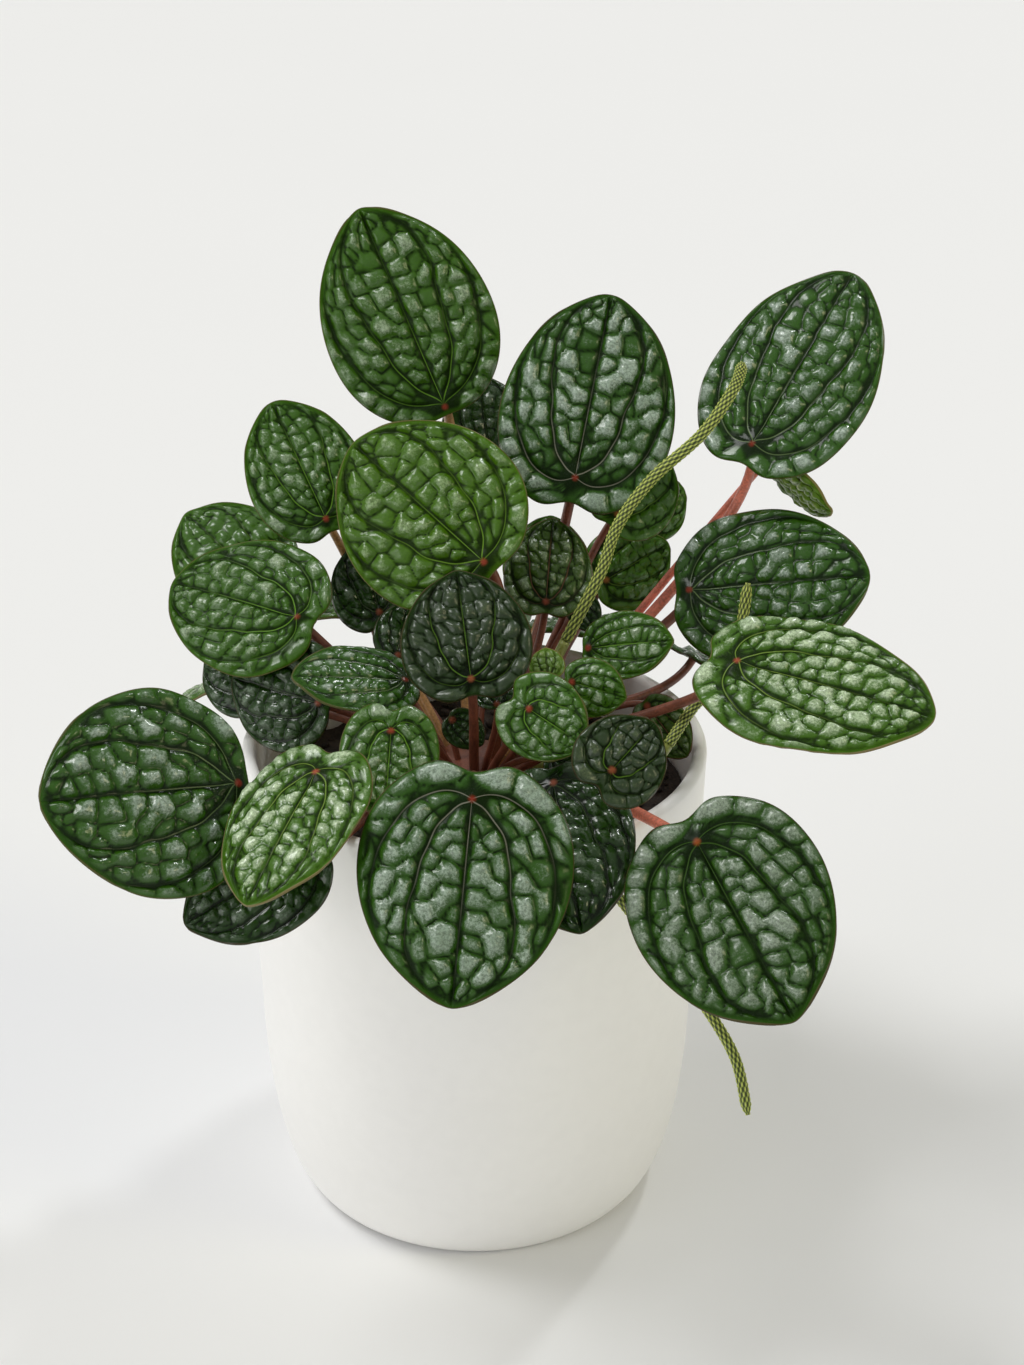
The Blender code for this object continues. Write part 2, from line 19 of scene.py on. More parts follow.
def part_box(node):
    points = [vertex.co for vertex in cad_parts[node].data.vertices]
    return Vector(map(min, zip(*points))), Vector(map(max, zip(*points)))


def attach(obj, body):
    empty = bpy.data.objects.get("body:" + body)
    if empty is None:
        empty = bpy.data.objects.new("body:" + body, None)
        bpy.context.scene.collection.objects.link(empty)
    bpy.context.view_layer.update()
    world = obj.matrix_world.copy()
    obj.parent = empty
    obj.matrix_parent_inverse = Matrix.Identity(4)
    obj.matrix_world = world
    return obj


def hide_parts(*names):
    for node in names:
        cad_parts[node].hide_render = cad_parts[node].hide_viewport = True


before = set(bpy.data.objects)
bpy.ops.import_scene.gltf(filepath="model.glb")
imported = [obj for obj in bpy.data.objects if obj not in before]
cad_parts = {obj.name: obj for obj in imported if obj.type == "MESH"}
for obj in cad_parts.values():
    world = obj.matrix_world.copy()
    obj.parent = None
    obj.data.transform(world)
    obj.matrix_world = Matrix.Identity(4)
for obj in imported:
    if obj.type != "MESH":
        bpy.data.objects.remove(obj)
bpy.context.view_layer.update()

bl_info = {
    "name": "Ripple peperomia",
    "version": (1, 0, 0),
    "blender": (4, 5, 0),
    "location": "3D View > Sidebar > Peperomia",
    "description": "Builds a potted ripple peperomia around its packed solids",
    "category": "Add Mesh",
}

BODY = "root"
GAP = 0.0003
MERGE = 1e-7
MM = 1000.0

# Pot
_, POT_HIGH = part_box("pot")
POT_WAIST_RADIUS = 0.0627
POT_WAIST_HEIGHT = 0.060
POT_FOOT_RADIUS = 0.0495
POT_FLOOR = 0.006
POT_FLOOR_ROUND = 0.015
POT_WALL_TOP = POT_HIGH.z - 0.006
POT_INSIDE_TOP = POT_HIGH.z - 0.015
POT_SHARP_ANGLE = math.radians(40)

# Soil
SOIL_LOW, SOIL_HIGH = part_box("soil")
SOIL_RADIUS = SOIL_HIGH.x
SOIL_TOP = 0.122
SOIL_FOOT_GAP = 0.005
SOIL_SIDE_RADIUS = SOIL_RADIUS - 0.0035
SOIL_SIDE_HEIGHT = 0.030
SOIL_EDGE_GAP = 0.0002
SOIL_HOLE_DEPTH = 0.0175
SOIL_STEPS = 150
SOIL_RINGS = 42
SOIL_CALM = 0.0005
SOIL_LUMPS = ((220.0, 0.0013), (700.0, 0.0007))
CRUMB_SEED = 7
CRUMB_SIZES = (0.0006, 0.0018)
CRUMB_EDGE_GAP = 0.004
CRUMB_CROWN_GAP = 0.003
CRUMB_LIFT = 0.4
CRUMB_SQUASH = ((0.7, 1.5), (0.7, 1.3), (0.5, 1.0))

# Crown. The curves give shares of its radius, with the rises there from its shoulder and from its top.
CROWN_ROOT_RADIUS = 0.012
CROWN_RADIUS = 0.016
CROWN_RISE = 0.014
CROWN_SHOULDER = 0.005
CROWN_SHOULDER_DROP = 0.0025
CROWN_SHOULDER_CURVE = ((0.95, -0.0008), (1.0, 0.001))
CROWN_TOP_CURVE = ((0.9, -0.005), (0.6, -0.0015))
CROWN_STEPS = 32

# Eye of the picture: its place, its tilt below the horizon and its focal length in picture pixels
EYE = Vector((0.0105, -0.5748, 0.4435))
EYE_TILT = math.radians(26.47)
EYE_FOCAL_PX = 2320.5
PICTURE_CENTRE_PX = (512.0, 682.5)
PICTURE_HEIGHT_PX = 1365.0
SENSOR_MM = 36.0

# Suns: the side that each comes from, how many degrees wide it is, and its tint
Sun = namedtuple("Sun", "name place spread tint")

SUNS = (
    Sun("key", (-0.9, 0.1, 1.6), 22.0, (1.0, 1.0, 1.0)),
    Sun("side", (1.2, -0.4, 0.8), 20.0, (1.0, 0.93, 0.55)),
    Sun("low", (-1.0, -0.7, 0.25), 40.0, (1.0, 1.0, 1.0)),
    Sun("back", (0.6, 0.9, 1.3), 5.0, (0.97, 0.99, 1.0)),
)
FLOOR_HALF = 30.0
FLOOR_SHADE = 0.985

# Outline of a blade
NOTCH_SHARE = 0.35
NOTCH_SPREAD = 0.22
POINT_SPREAD = 0.60
EGG_BASE = 0.982
EGG_SHARE = 0.14
MIDRIB_VALLEY = 0.35
BLADE_HALF = 0.0004
BLADE_MERGE = 2e-5

# Veins. A line across the blade runs from 0 at the midrib to 1 at the edge. The two side veins swing out
# between two shares of the way from the joint to the tip.
VEIN_LINES = (0.0, 0.42, 0.80, 1.0)
FAN_SHARE = 0.11
INNER_VEIN_END = 0.84
INNER_VEIN_SWING = (0.40, 0.92)
OUTER_VEIN_END = 0.97
OUTER_VEIN_SWING = (0.30, 0.75)
VEIN_SWAY = 0.014
SWAY_PHASE = 900.0
SWAY_WAVES = (29.0, 12.0)

# Puckers. They stand in slanting rows between two veins, and lengths here are shares of a pucker's width.
ROW_SLANT = 2.0
ROW_EXTRA = 0.4
ROW_START = 0.35
CELL_JITTER = (0.24, 0.26)
CELL_ENDS = (0.02, 0.985)
CELL_SPREAD = 0.30
CELL_LIFTS = (0.60, 1.0)
FLAT_CELLS = 0.08
FLAT_LIFT = 0.35
PILLOW_POWER = 2.2
DOME_EDGE = 0.95
ROW_SADDLE = 0.55
LOBE_WIDTH = 0.42
LOBE_SPREAD = 0.15
LOBE_EDGE = 0.34
LOBE_SHARE = 0.30
VEIN_BAND_START = -0.05
VEIN_BAND = 0.24
VEIN_BAND_AT_JOINT = 0.50
RIM_BAND = 0.25
CHANNEL_DEPTH = 0.16
CHANNEL_WIDTH = 0.22
RELIEF_MIDDLE = 0.45

# Relief near the joint, and the wavy edge. Reaches and fades are shares of the blade's length.
JOINT_BAND_REACH = 0.35
JOINT_BARE = (0.02, 0.14)
JOINT_FLAT = 0.12
RIM_WAVE = 0.25
RIM_WAVES = 23.0
RIM_WAVE_POWER = 6
RIM_WAVE_FADE = 0.15
TIP_RIM_SHARE = 0.8

# Stalks. They leave the crown the more steeply outwards, the farther out their blade is.
STALK_STUB = 0.0016
STALK_RADIUS = 0.0007
STALK_RADIUS_SHARE = 0.016
STALK_TAPER = (1.15, 0.92)
STALK_TURN = 0.35
STALK_HANDLES = (0.45, 0.30)
ROOT_REACH = 0.11
ROOT_RADII = (0.003, 0.008)
ROOT_RISE = 0.004
ROOT_SLOPES = (0.25, 0.9)
TUBE_MERGE = 1e-6

# Flower spikes
SPIKE_ROUGH_POINTS = 60
SPIKE_END_POINTS = 40
SPIKE_ROUNDING = 26.0
SPIKE_TIP_LEAST = 0.10
SPIKE_STALK_SHARE = 0.95
FLORET_BASE = 0.90
FLORET_RINGS = 3
FLORET_SIDES = 4
FLORET_UNEVEN = 0.35

# joint_px and tip_px: where the stalk joint and the tip are seen. eye: distance of the joint from the eye,
# along its line of aim. length: joint to tip. width: across the blade. lobe: share of the length that
# reaches back past the joint. lean: +1 if the tip is nearer the eye than the joint, -1 if farther.
# roll: degrees that the blade turns about its midrib from facing the eye. dome: how far the sides bend
# down, as a share of the width. curl: the same for the tip, as a share of the length.
# grade: 3 large, 2 middling, 1 small. bow: sideways shift of the stalk's middle, x, y and z.
# point: how far the outline draws in beside the tip.
Leaf = namedtuple(
    "Leaf",
    "name joint_px tip_px eye length width lobe lean roll dome curl grade bow point",
    defaults=((0.0, 0.0, 0.0), 0.44),
)

LEAVES = (
    Leaf("front_centre", (472, 799), (452, 1005), 0.560, 0.050, 0.053, 0.22, 1, 0, 0.10, 0.10, 3),
    Leaf("front_right", (697, 842), (791, 1015), 0.572, 0.051, 0.0505, 0.22, 1, 0, 0.08, 0.08, 3),
    Leaf("front_dark", (553, 783), (580, 925), 0.592, 0.041, 0.037, 0.18, 1, 0, 0.08, 0.10, 2,
         (-0.004, 0, 0)),
    Leaf("front_left_light", (316, 772), (240, 893), 0.572, 0.040, 0.036, 0.28, 1, 38, 0.06, 0.10, 2,
         (-0.008, 0, -0.004)),
    Leaf("left_big", (238, 783), (50, 795), 0.584, 0.051, 0.055, 0.10, 1, 15, 0.08, 0.10, 3, point=0.30),
    Leaf("left_low", (314, 850), (181, 920), 0.583, 0.037, 0.031, 0.10, -1, 20, 0.08, 0.10, 2,
         (0, 0, 0.004)),
    Leaf("left_dark", (318, 703), (228, 676), 0.622, 0.027, 0.032, 0.20, -1, 0, 0.08, 0.10, 2),
    Leaf("left_small", (405, 680), (296, 668), 0.614, 0.031, 0.025, 0.15, 1, 45, 0.06, 0.10, 1),
    Leaf("left_mid", (297, 617), (167, 574), 0.628, 0.041, 0.042, 0.20, -1, 20, 0.08, 0.10, 3, point=0.25),
    Leaf("left_behind", (265, 588), (183, 507), 0.668, 0.036, 0.036, 0.15, -1, 10, 0.06, 0.10, 1),
    Leaf("left_sliver", (262, 692), (202, 655), 0.645, 0.022, 0.022, 0.15, -1, 0, 0.06, 0.10, 1),
    Leaf("left_upper", (326, 519), (270, 399), 0.650, 0.038, 0.034, 0.16, -1, 0, 0.08, 0.08, 2,
         (0, 0.004, 0), point=0.25),
    Leaf("mid_left_dark", (379, 612), (362, 537), 0.655, 0.022, 0.025, 0.28, -1, 0, 0.06, 0.08, 1),
    Leaf("top_left", (445, 407), (358, 206), 0.664, 0.062, 0.050, 0.06, -1, 0, 0.08, 0.06, 3),
    Leaf("centre_upper", (484, 562), (349, 440), 0.622, 0.050, 0.052, 0.12, -1, 0, 0.08, 0.08, 3,
         point=0.25),
    Leaf("centre_dark", (471, 679), (456, 566), 0.604, 0.031, 0.035, 0.22, -1, 0, 0.06, 0.10, 2,
         (0, -0.004, 0)),
    Leaf("top_centre", (575, 478), (612, 291), 0.636, 0.053, 0.049, 0.20, -1, 0, 0.08, 0.06, 3,
         (0, 0.004, 0), point=0.25),
    Leaf("top_gap", (492, 470), (478, 372), 0.685, 0.030, 0.028, 0.15, -1, 0, 0.06, 0.08, 1),
    Leaf("right_top", (752, 444), (851, 266), 0.640, 0.058, 0.048, 0.16, -1, -20, 0.08, 0.06, 3,
         point=0.25),
    Leaf("right_edge_on", (768, 462), (823, 518), 0.655, 0.026, 0.024, 0.15, 1, 72, 0.06, 0.10, 1,
         (0, 0.004, 0)),
    Leaf("right_mid", (689, 590), (866, 570), 0.645, 0.050, 0.046, 0.12, 1, -20, 0.08, 0.08, 3, point=0.25),
    Leaf("right_low", (737, 661), (935, 705), 0.605, 0.053, 0.045, 0.22, 1, -40, 0.08, 0.08, 3,
         (-0.004, 0, 0), point=0.25),
    Leaf("mid_brown", (546, 602), (553, 515), 0.639, 0.026, 0.025, 0.20, -1, 0, 0.10, 0.06, 2),
    Leaf("right_inner_high", (617, 514), (668, 453), 0.652, 0.023, 0.026, 0.25, -1, 0, 0.06, 0.08, 1),
    Leaf("right_inner_low", (606, 580), (670, 542), 0.672, 0.022, 0.025, 0.25, -1, 0, 0.06, 0.08, 1,
         (0.004, -0.006, 0)),
    Leaf("right_inner_far", (640, 512), (686, 488), 0.680, 0.016, 0.022, 0.25, -1, 0, 0.06, 0.08, 1),
    Leaf("bright_back", (544, 594), (552, 512), 0.674, 0.026, 0.026, 0.15, -1, 0, 0.06, 0.08, 1),
    Leaf("tiny_dark", (578, 600), (594, 630), 0.652, 0.010, 0.010, 0.20, 1, 0, 0.06, 0.08, 1),
    Leaf("right_small", (588, 648), (671, 638), 0.630, 0.024, 0.020, 0.10, 1, -20, 0.06, 0.08, 2),
    Leaf("curled_young", (572, 682), (622, 697), 0.610, 0.015, 0.016, 0.25, 1, 0, 0.20, 0.20, 1),
    Leaf("centre_right", (529, 709), (583, 745), 0.595, 0.018, 0.023, 0.50, 1, 0, 0.06, 0.08, 2),
    Leaf("right_of_centre", (612, 770), (656, 721), 0.574, 0.017, 0.024, 0.50, -1, 0, 0.06, 0.06, 2,
         (0.016, 0.008, 0.008)),
    Leaf("rim_right", (647, 706), (688, 758), 0.642, 0.018, 0.015, 0.15, 1, 0, 0.08, 0.10, 1),
    Leaf("heart_left", (391, 731), (385, 815), 0.594, 0.024, 0.026, 0.40, 1, 0, 0.12, 0.10, 2),
    Leaf("glossy_small", (452, 720), (484, 745), 0.638, 0.011, 0.011, 0.20, 1, 0, 0.06, 0.10, 1),
    Leaf("young_yellow", (548, 676), (545, 646), 0.621, 0.009, 0.010, 0.15, -1, 0, 0.10, 0.10, 1),
    Leaf("under_centre", (497, 704), (496, 668), 0.622, 0.011, 0.013, 0.20, -1, 0, 0.06, 0.10, 1),
    Leaf("behind_centre", (398, 655), (408, 600), 0.640, 0.016, 0.016, 0.15, -1, 0, 0.06, 0.10, 1),
    Leaf("rim_front", (552, 758), (600, 778), 0.604, 0.014, 0.013, 0.15, 1, 0, 0.06, 0.10, 1),
)

# Leaves on the side that the picture hides. bearing: degrees round from +X, seen from above. reach and
# height: where the joint is. droop: degrees that the midrib falls below level. The rest is as above.
RearLeaf = namedtuple(
    "RearLeaf",
    "name bearing reach height droop length width lobe roll dome curl grade bow point",
    defaults=((0.0, 0.0, 0.0), 0.44),
)

REAR_LEAVES = (
    RearLeaf("rear_mid", 96, 0.074, 0.172, 8, 0.042, 0.042, 0.18, -8, 0.08, 0.10, 2),
    RearLeaf("rear_left", 125, 0.054, 0.160, 8, 0.040, 0.038, 0.18, 6, 0.08, 0.10, 1),
    RearLeaf("rear_right", 62, 0.058, 0.150, 12, 0.040, 0.038, 0.18, -6, 0.08, 0.10, 1),
    RearLeaf("rear_low", 94, 0.076, 0.149, 38, 0.046, 0.046, 0.20, 0, 0.08, 0.10, 2, (0, 0, 0.004)),
    RearLeaf("rear_far_left", 158, 0.070, 0.150, 28, 0.040, 0.038, 0.20, 8, 0.08, 0.10, 1),
    RearLeaf("rear_far_right", 28, 0.072, 0.150, 24, 0.042, 0.040, 0.20, -8, 0.08, 0.10, 1),
)

# Flower spikes: picture points with their distances from the eye, from where the stalk ends to the tip
Spike = namedtuple("Spike", "name points_px eyes radius bow")

SPIKES = (
    Spike("tall", ((566, 640), (600, 574), (618, 525), (652, 479), (702, 434), (734, 388), (743, 362)),
          (0.634, 0.629, 0.626, 0.622, 0.618, 0.615, 0.613), 0.0016, (0, 0, 0)),
    Spike("right", ((668, 745), (690, 712), (716, 680), (738, 640), (748, 583)),
          (0.622, 0.626, 0.630, 0.631, 0.629), 0.0015, (0, 0, 0)),
    Spike("hanging", ((600, 874), (635, 918), (672, 965), (704, 1005), (735, 1058), (748, 1115)),
          (0.590, 0.590, 0.589, 0.588, 0.584, 0.580), 0.0014, (0, 0, 0)),
)

# Finish of each blade, by the look that the picture gives it
LOOK_LEAVES = {
    "mid_green": ("top_left", "left_upper", "left_mid", "heart_left", "rear_mid", "right_small",
                  "curled_young", "centre_right"),
    "bright_green": ("centre_upper", "rear_left"),
    "light_green": ("front_left_light", "right_low", "rear_far_left"),
    "plain_green": ("left_behind", "right_inner_high", "right_inner_low", "right_inner_far", "bright_back",
                    "rear_right"),
    "brown_veined": ("mid_brown", "rim_right"),
    "wet_dark": ("left_low", "left_dark", "left_sliver", "mid_left_dark", "front_dark", "glossy_small",
                 "tiny_dark", "top_gap", "behind_centre", "under_centre", "rim_front", "rear_low"),
    "silver_grey": ("front_right",),
    "silver_wet": ("left_big", "right_top", "right_mid", "left_small"),
    "matt_dark": ("centre_dark", "right_of_centre"),
    "young": ("young_yellow", "right_edge_on"),
}
LOOK_OF_LEAF = {name: look for look, names in LOOK_LEAVES.items() for name in names}
USUAL_LOOK = "silver_dark"

# Colours of each look, its shares of silver and of pale vein line, which is partly painted highlight, its
# roughness, and its gloss in the valleys
Look = namedtuple("Look", "valley crest vein rim joint crest_share vein_share roughness valley_gloss")
LOOKS = {
    "silver_dark": Look((0.022, 0.078, 0.003), (0.300, 0.385, 0.295), (0.360, 0.350, 0.270),
                        (0.085, 0.060, 0.030), (0.220, 0.025, 0.012), 1.15, 0.5, 0.20, 0.10),
    "silver_grey": Look((0.020, 0.068, 0.003), (0.225, 0.285, 0.205), (0.100, 0.230, 0.030),
                        (0.085, 0.060, 0.030), (0.260, 0.060, 0.012), 1.15, 0.3, 0.22, 0.06),
    "silver_wet": Look((0.024, 0.085, 0.003), (0.330, 0.410, 0.330), (0.200, 0.300, 0.110),
                       (0.110, 0.100, 0.035), (0.220, 0.025, 0.012), 0.92, 0.5, 0.14, 0.28),
    "mid_green": Look((0.034, 0.105, 0.002), (0.280, 0.375, 0.225), (0.150, 0.340, 0.025),
                      (0.120, 0.110, 0.035), (0.260, 0.040, 0.020), 0.90, 0.7, 0.20, 0.08),
    "bright_green": Look((0.052, 0.135, 0.002), (0.240, 0.350, 0.150), (0.180, 0.360, 0.030),
                         (0.180, 0.150, 0.060), (0.300, 0.050, 0.025), 0.85, 0.7, 0.20, 0.10),
    "light_green": Look((0.046, 0.125, 0.004), (0.470, 0.590, 0.370), (0.240, 0.380, 0.060),
                        (0.240, 0.180, 0.090), (0.360, 0.070, 0.040), 1.20, 0.7, 0.18, 0.12),
    "plain_green": Look((0.040, 0.120, 0.003), (0.110, 0.210, 0.065), (0.150, 0.290, 0.030),
                        (0.130, 0.140, 0.040), (0.280, 0.110, 0.030), 0.6, 0.6, 0.20, 0.10),
    "brown_veined": Look((0.034, 0.078, 0.004), (0.210, 0.290, 0.150), (0.130, 0.065, 0.030),
                         (0.150, 0.080, 0.050), (0.260, 0.060, 0.030), 1.0, 0.9, 0.20, 0.10),
    "wet_dark": Look((0.011, 0.040, 0.002), (0.125, 0.178, 0.112), (0.060, 0.110, 0.030),
                     (0.060, 0.045, 0.020), (0.220, 0.060, 0.030), 0.95, 0.5, 0.12, 0.36),
    "matt_dark": Look((0.010, 0.029, 0.002), (0.058, 0.088, 0.032), (0.100, 0.210, 0.020),
                      (0.080, 0.060, 0.030), (0.240, 0.070, 0.030), 0.70, 0.7, 0.26, 0.02),
    "young": Look((0.090, 0.180, 0.012), (0.250, 0.360, 0.080), (0.220, 0.300, 0.070),
                  (0.260, 0.200, 0.070), (0.300, 0.130, 0.050), 0.8, 0.7, 0.30, 0.06),
}

# Skin of a blade: noise scales, the shares that they add to the crests, gaps to vein, rim and joint in
# millimetres, and how strongly each of these shows
SPECKLE_SCALE = 1500.0
CLOUD_SCALE = 260.0
PATCH_SCALE = 45.0
SPECKLE_SHARE = 0.50
CLOUD_SHARE = 0.65
SILVER_SPAN = (0.30, 0.76)
# Crest heights over which the valley green goes from painted shade at the bottom of a crease to its plain
# colour
CREASE_SHADE_SPAN = (0.0, 0.20)
PORE_SPAN = (0.36, 0.62)
GLOSS_SPAN = (0.02, 0.32)
MARGIN_MM = (0.4, 2.2)
RIM_LINE_MM = (0.10, 0.42)
VEIN_LINE_AND_HIGHLIGHT_MM = (0.05, 0.26)
VEIN_END_MM = (2.0, 9.0)
VEIN_FADE_MM = (8.0, 34.0)
JOINT_SPOT_MM = (0.7, 1.9)
SILVER_DULLNESS = 0.08
FLAT_CELL_SPAN = (0.0, 0.35)
FLAT_CELL_SILVER = 0.65
PATCH_SPAN = (0.34, 0.56)
PATCH_SILVER = 0.78
# Shares of the valley green: darkened as painted shade at the bottom of a crease, and its plain colour where
# the pucker rises
VALLEY_PAINTED_SHADES = (0.18, 1.1)
CREST_SHADES = (0.64, 1.22)
MARGIN_SHADE = 1.3
MARGIN_SHARE = 0.7
VEIN_FAR_SHARE = 0.15
RIM_SHARE = 0.8
JOINT_SHARE = 0.9
LEAF_BUMP = (0.6, 0.0006)
LEAF_SPECULAR = 0.05
COAT_DULLNESS = 0.05

# Florets and grain
FLORET_SHADE_SPAN_MM = (-0.10, 0.07)
FLORET_TIP_MM = (0.02, 0.20)
GRAIN_SCALES = (120.0, 900.0)
GRAIN_SPAN = (0.38, 0.62)
GRAIN_BUMP = 0.0004
COAT_ROUGHNESS = 0.2

# Colours of the florets, the painted shade in the gaps between them, the undersides and the soil's pale
# grains
FLORET_PAINTED_SHADE = (0.026, 0.040, 0.006)
FLORET_TIP = (0.640, 0.690, 0.160)
UNDERSIDE_GREEN = (0.110, 0.190, 0.075)
UNDERSIDE_SHADE = (0.075, 0.140, 0.050)
UNDERSIDE_VEIN = (0.230, 0.100, 0.060)
UNDERSIDE_VEIN_MM = (0.15, 0.7)
SOIL_PALE = (0.060, 0.042, 0.030)

# Colours of the stalks: most are brown, some are as the picture shows them
STALK_TINTS = {
    "right_top": "salmon", "right_edge_on": "salmon", "top_left": "tan", "left_upper": "tan",
    "left_behind": "tan", "mid_left_dark": "tan", "young_yellow": "tan", "bright_back": "tan",
    "rear_mid": "tan", "front_right": "salmon", "rear_right": "salmon",
}
TINTS = {"brown": (0.250, 0.080, 0.044), "salmon": (0.950, 0.270, 0.170), "tan": (0.560, 0.300, 0.110),
         "lime": (0.300, 0.340, 0.070)}

# Fineness of the blades: segments in each band between veins, and stations from the joint to the tip
FINENESS = {3: ((18, 16, 9), 100), 2: ((13, 11, 6), 72), 1: ((9, 8, 4), 46)}


class PotSettings(PropertyGroup):
    """Sizes and colour of the pot."""
    wall: FloatProperty(name="Wall", description="Thickness of the wall", default=0.004, unit="LENGTH")
    steps: IntProperty(name="Steps", description="Sides of the turned pot", default=144, min=12)
    colour: FloatVectorProperty(name="Colour", description="Colour of the glaze", subtype="COLOR", size=3,
                                default=(0.93, 0.92, 0.89))


class LeafSettings(PropertyGroup):
    """Relief and thickness of the blades."""
    thickness: FloatProperty(name="Thickness", description="Thickness of a blade", default=0.0006,
                             unit="LENGTH")
    pucker: FloatProperty(name="Pucker", description="Height of the puckers, as a share of a blade's width",
                          default=0.048)
    cell: FloatProperty(name="Cell", description="Width of a pucker, as a share of a blade's width",
                        default=0.100)
    cell_least: FloatProperty(name="Least cell", description="Length added to that width of a pucker",
                              default=0.0008, unit="LENGTH")


class StalkSettings(PropertyGroup):
    """Fineness of the stalks."""
    sides: IntProperty(name="Sides", description="Sides of a stalk", default=12, min=3)
    steps: IntProperty(name="Steps", description="Rings along a stalk", default=26, min=4)


class SpikeSettings(PropertyGroup):
    """Size and colour of the florets."""
    grain: FloatProperty(name="Grain", description="Width of one floret", default=0.00125, unit="LENGTH")
    rise: FloatProperty(name="Rise", description="How far a floret stands out", default=0.00013,
                        unit="LENGTH")
    colour: FloatVectorProperty(name="Colour", description="Colour of the florets", subtype="COLOR", size=3,
                                default=(0.280, 0.350, 0.050))


class SoilSettings(PropertyGroup):
    """Crumbs and colour of the soil."""
    crumbs: IntProperty(name="Crumbs", description="Loose crumbs that lie on the soil", default=420, min=0)
    colour: FloatVectorProperty(name="Colour", description="Colour of the soil", subtype="COLOR", size=3,
                                default=(0.018, 0.012, 0.009))


class StageSettings(PropertyGroup):
    """Floor and lights."""
    floor: FloatVectorProperty(name="Floor", description="Colour of the floor", default=(0.85, 0.85, 0.85),
                               subtype="COLOR", size=3)
    key: FloatProperty(name="Key", description="Strength of the high light from the left", default=1.3)
    side: FloatProperty(name="Side", description="Strength of the warm light from the right", default=0.45)
    low: FloatProperty(name="Low", description="Strength of the low wide light from the left", default=0.7)
    back: FloatProperty(name="Back", description="Strength of the narrow light from behind", default=0.5)
    sky: FloatProperty(name="Sky", description="Strength of the even light from all round", default=0.42)


class PlantSettings(PropertyGroup):
    """All settings of the potted plant."""
    pot: PointerProperty(type=PotSettings)
    leaf: PointerProperty(type=LeafSettings)
    stalk: PointerProperty(type=StalkSettings)
    spike: PointerProperty(type=SpikeSettings)
    soil: PointerProperty(type=SoilSettings)
    stage: PointerProperty(type=StageSettings)


# Placing, as in the solids


def seen_at(pixel, eye_distance):
    """The point that the picture shows at this pixel, this far from the eye along its line of aim."""
    across = (pixel[0] - PICTURE_CENTRE_PX[0]) / EYE_FOCAL_PX
    up = (PICTURE_CENTRE_PX[1] - pixel[1]) / EYE_FOCAL_PX
    aim = Vector((0.0, math.cos(EYE_TILT), -math.sin(EYE_TILT)))
    rise = Vector((0.0, math.sin(EYE_TILT), math.cos(EYE_TILT)))
    return EYE + (aim + Vector((across, 0.0, 0.0)) + rise * up) * eye_distance


def frame_from(joint, midrib, facing, roll):
    """Matrix with the joint at its origin, +X along the midrib, +Z out of the upper face."""
    normal = (facing - midrib * facing.dot(midrib)).normalized()
    normal = Matrix.Rotation(math.radians(roll), 3, midrib) @ normal
    place = Matrix((midrib, normal.cross(midrib), normal)).transposed().to_4x4()
    place.translation = joint
    return place


def rear_leaf_frame(leaf):
    outward = Vector((math.cos(math.radians(leaf.bearing)), math.sin(math.radians(leaf.bearing)), 0.0))
    up = Vector((0.0, 0.0, 1.0))
    joint = outward * leaf.reach + up * leaf.height
    fall = math.radians(leaf.droop)
    return frame_from(joint, outward * math.cos(fall) - up * math.sin(fall), up, leaf.roll)


def seen_leaf_frame(leaf):
    joint = seen_at(leaf.joint_px, leaf.eye)
    ray = seen_at(leaf.tip_px, 1.0) - EYE
    to_joint = joint - EYE
    nearest = to_joint.dot(ray) / ray.length_squared
    spare = leaf.length ** 2 - (to_joint - ray * nearest).length_squared
    reach = math.sqrt(max(spare, 0.0)) / ray.length
    midrib = (EYE + ray * (nearest - leaf.lean * reach) - joint).normalized()
    return frame_from(joint, midrib, EYE - joint, leaf.roll)


def leaf_frame(leaf):
    if isinstance(leaf, RearLeaf):
        return rear_leaf_frame(leaf)
    return seen_leaf_frame(leaf)


def pot_radius(height):
    """Outside radius: an upright wall above the waist and a long oval curve down to the foot."""
    if height >= POT_WAIST_HEIGHT:
        share = (height - POT_WAIST_HEIGHT) / (POT_HIGH.z - POT_WAIST_HEIGHT)
        return POT_WAIST_RADIUS + share * (POT_HIGH.x - POT_WAIST_RADIUS)
    drop = 1.0 - height / POT_WAIST_HEIGHT
    return POT_FOOT_RADIUS + (POT_WAIST_RADIUS - POT_FOOT_RADIUS) * math.sqrt(1.0 - drop * drop)


# Meshes


def link(name, data):
    """A new object that holds the data, in the scene."""
    item = bpy.data.objects.new(name, data)
    bpy.context.scene.collection.objects.link(item)
    return item


def finish_piece(bm, name, materials, node):
    """Turns a bmesh into a smooth object that rides on the frame and stands for a node."""
    mesh = bpy.data.meshes.new(name)
    bm.to_mesh(mesh)
    bm.free()
    for material in materials:
        mesh.materials.append(material)
    mesh.shade_smooth()
    piece = link(name, mesh)
    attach(piece, BODY)
    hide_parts(node)
    return piece


def vertex_array(bm):
    return np.array([vert.co for vert in bm.verts])


def place_vertices(bm, points):
    for vert, point in zip(bm.verts, points):
        vert.co = point


def edge_of_blade(leaf, angle):
    """Edge of the blade at an angle from the tip (0) round to the notch behind the joint (pi)."""
    back = leaf.lobe * leaf.length
    middle = (leaf.length - back) / 2
    half = (leaf.length + back) / 2
    notch = NOTCH_SHARE * back * np.exp(-(((math.pi - angle) / NOTCH_SPREAD) ** 2))
    pointed = 1.0 - leaf.point * np.exp(-((angle / POINT_SPREAD) ** 2))
    egg = EGG_BASE - EGG_SHARE * np.cos(angle)
    return middle + half * np.cos(angle) + notch, leaf.width / 2 * np.sin(angle) * egg * pointed


def smooth(value, low, high):
    share = np.clip((value - low) / (high - low), 0.0, 1.0)
    return share * share * (3.0 - 2.0 * share)


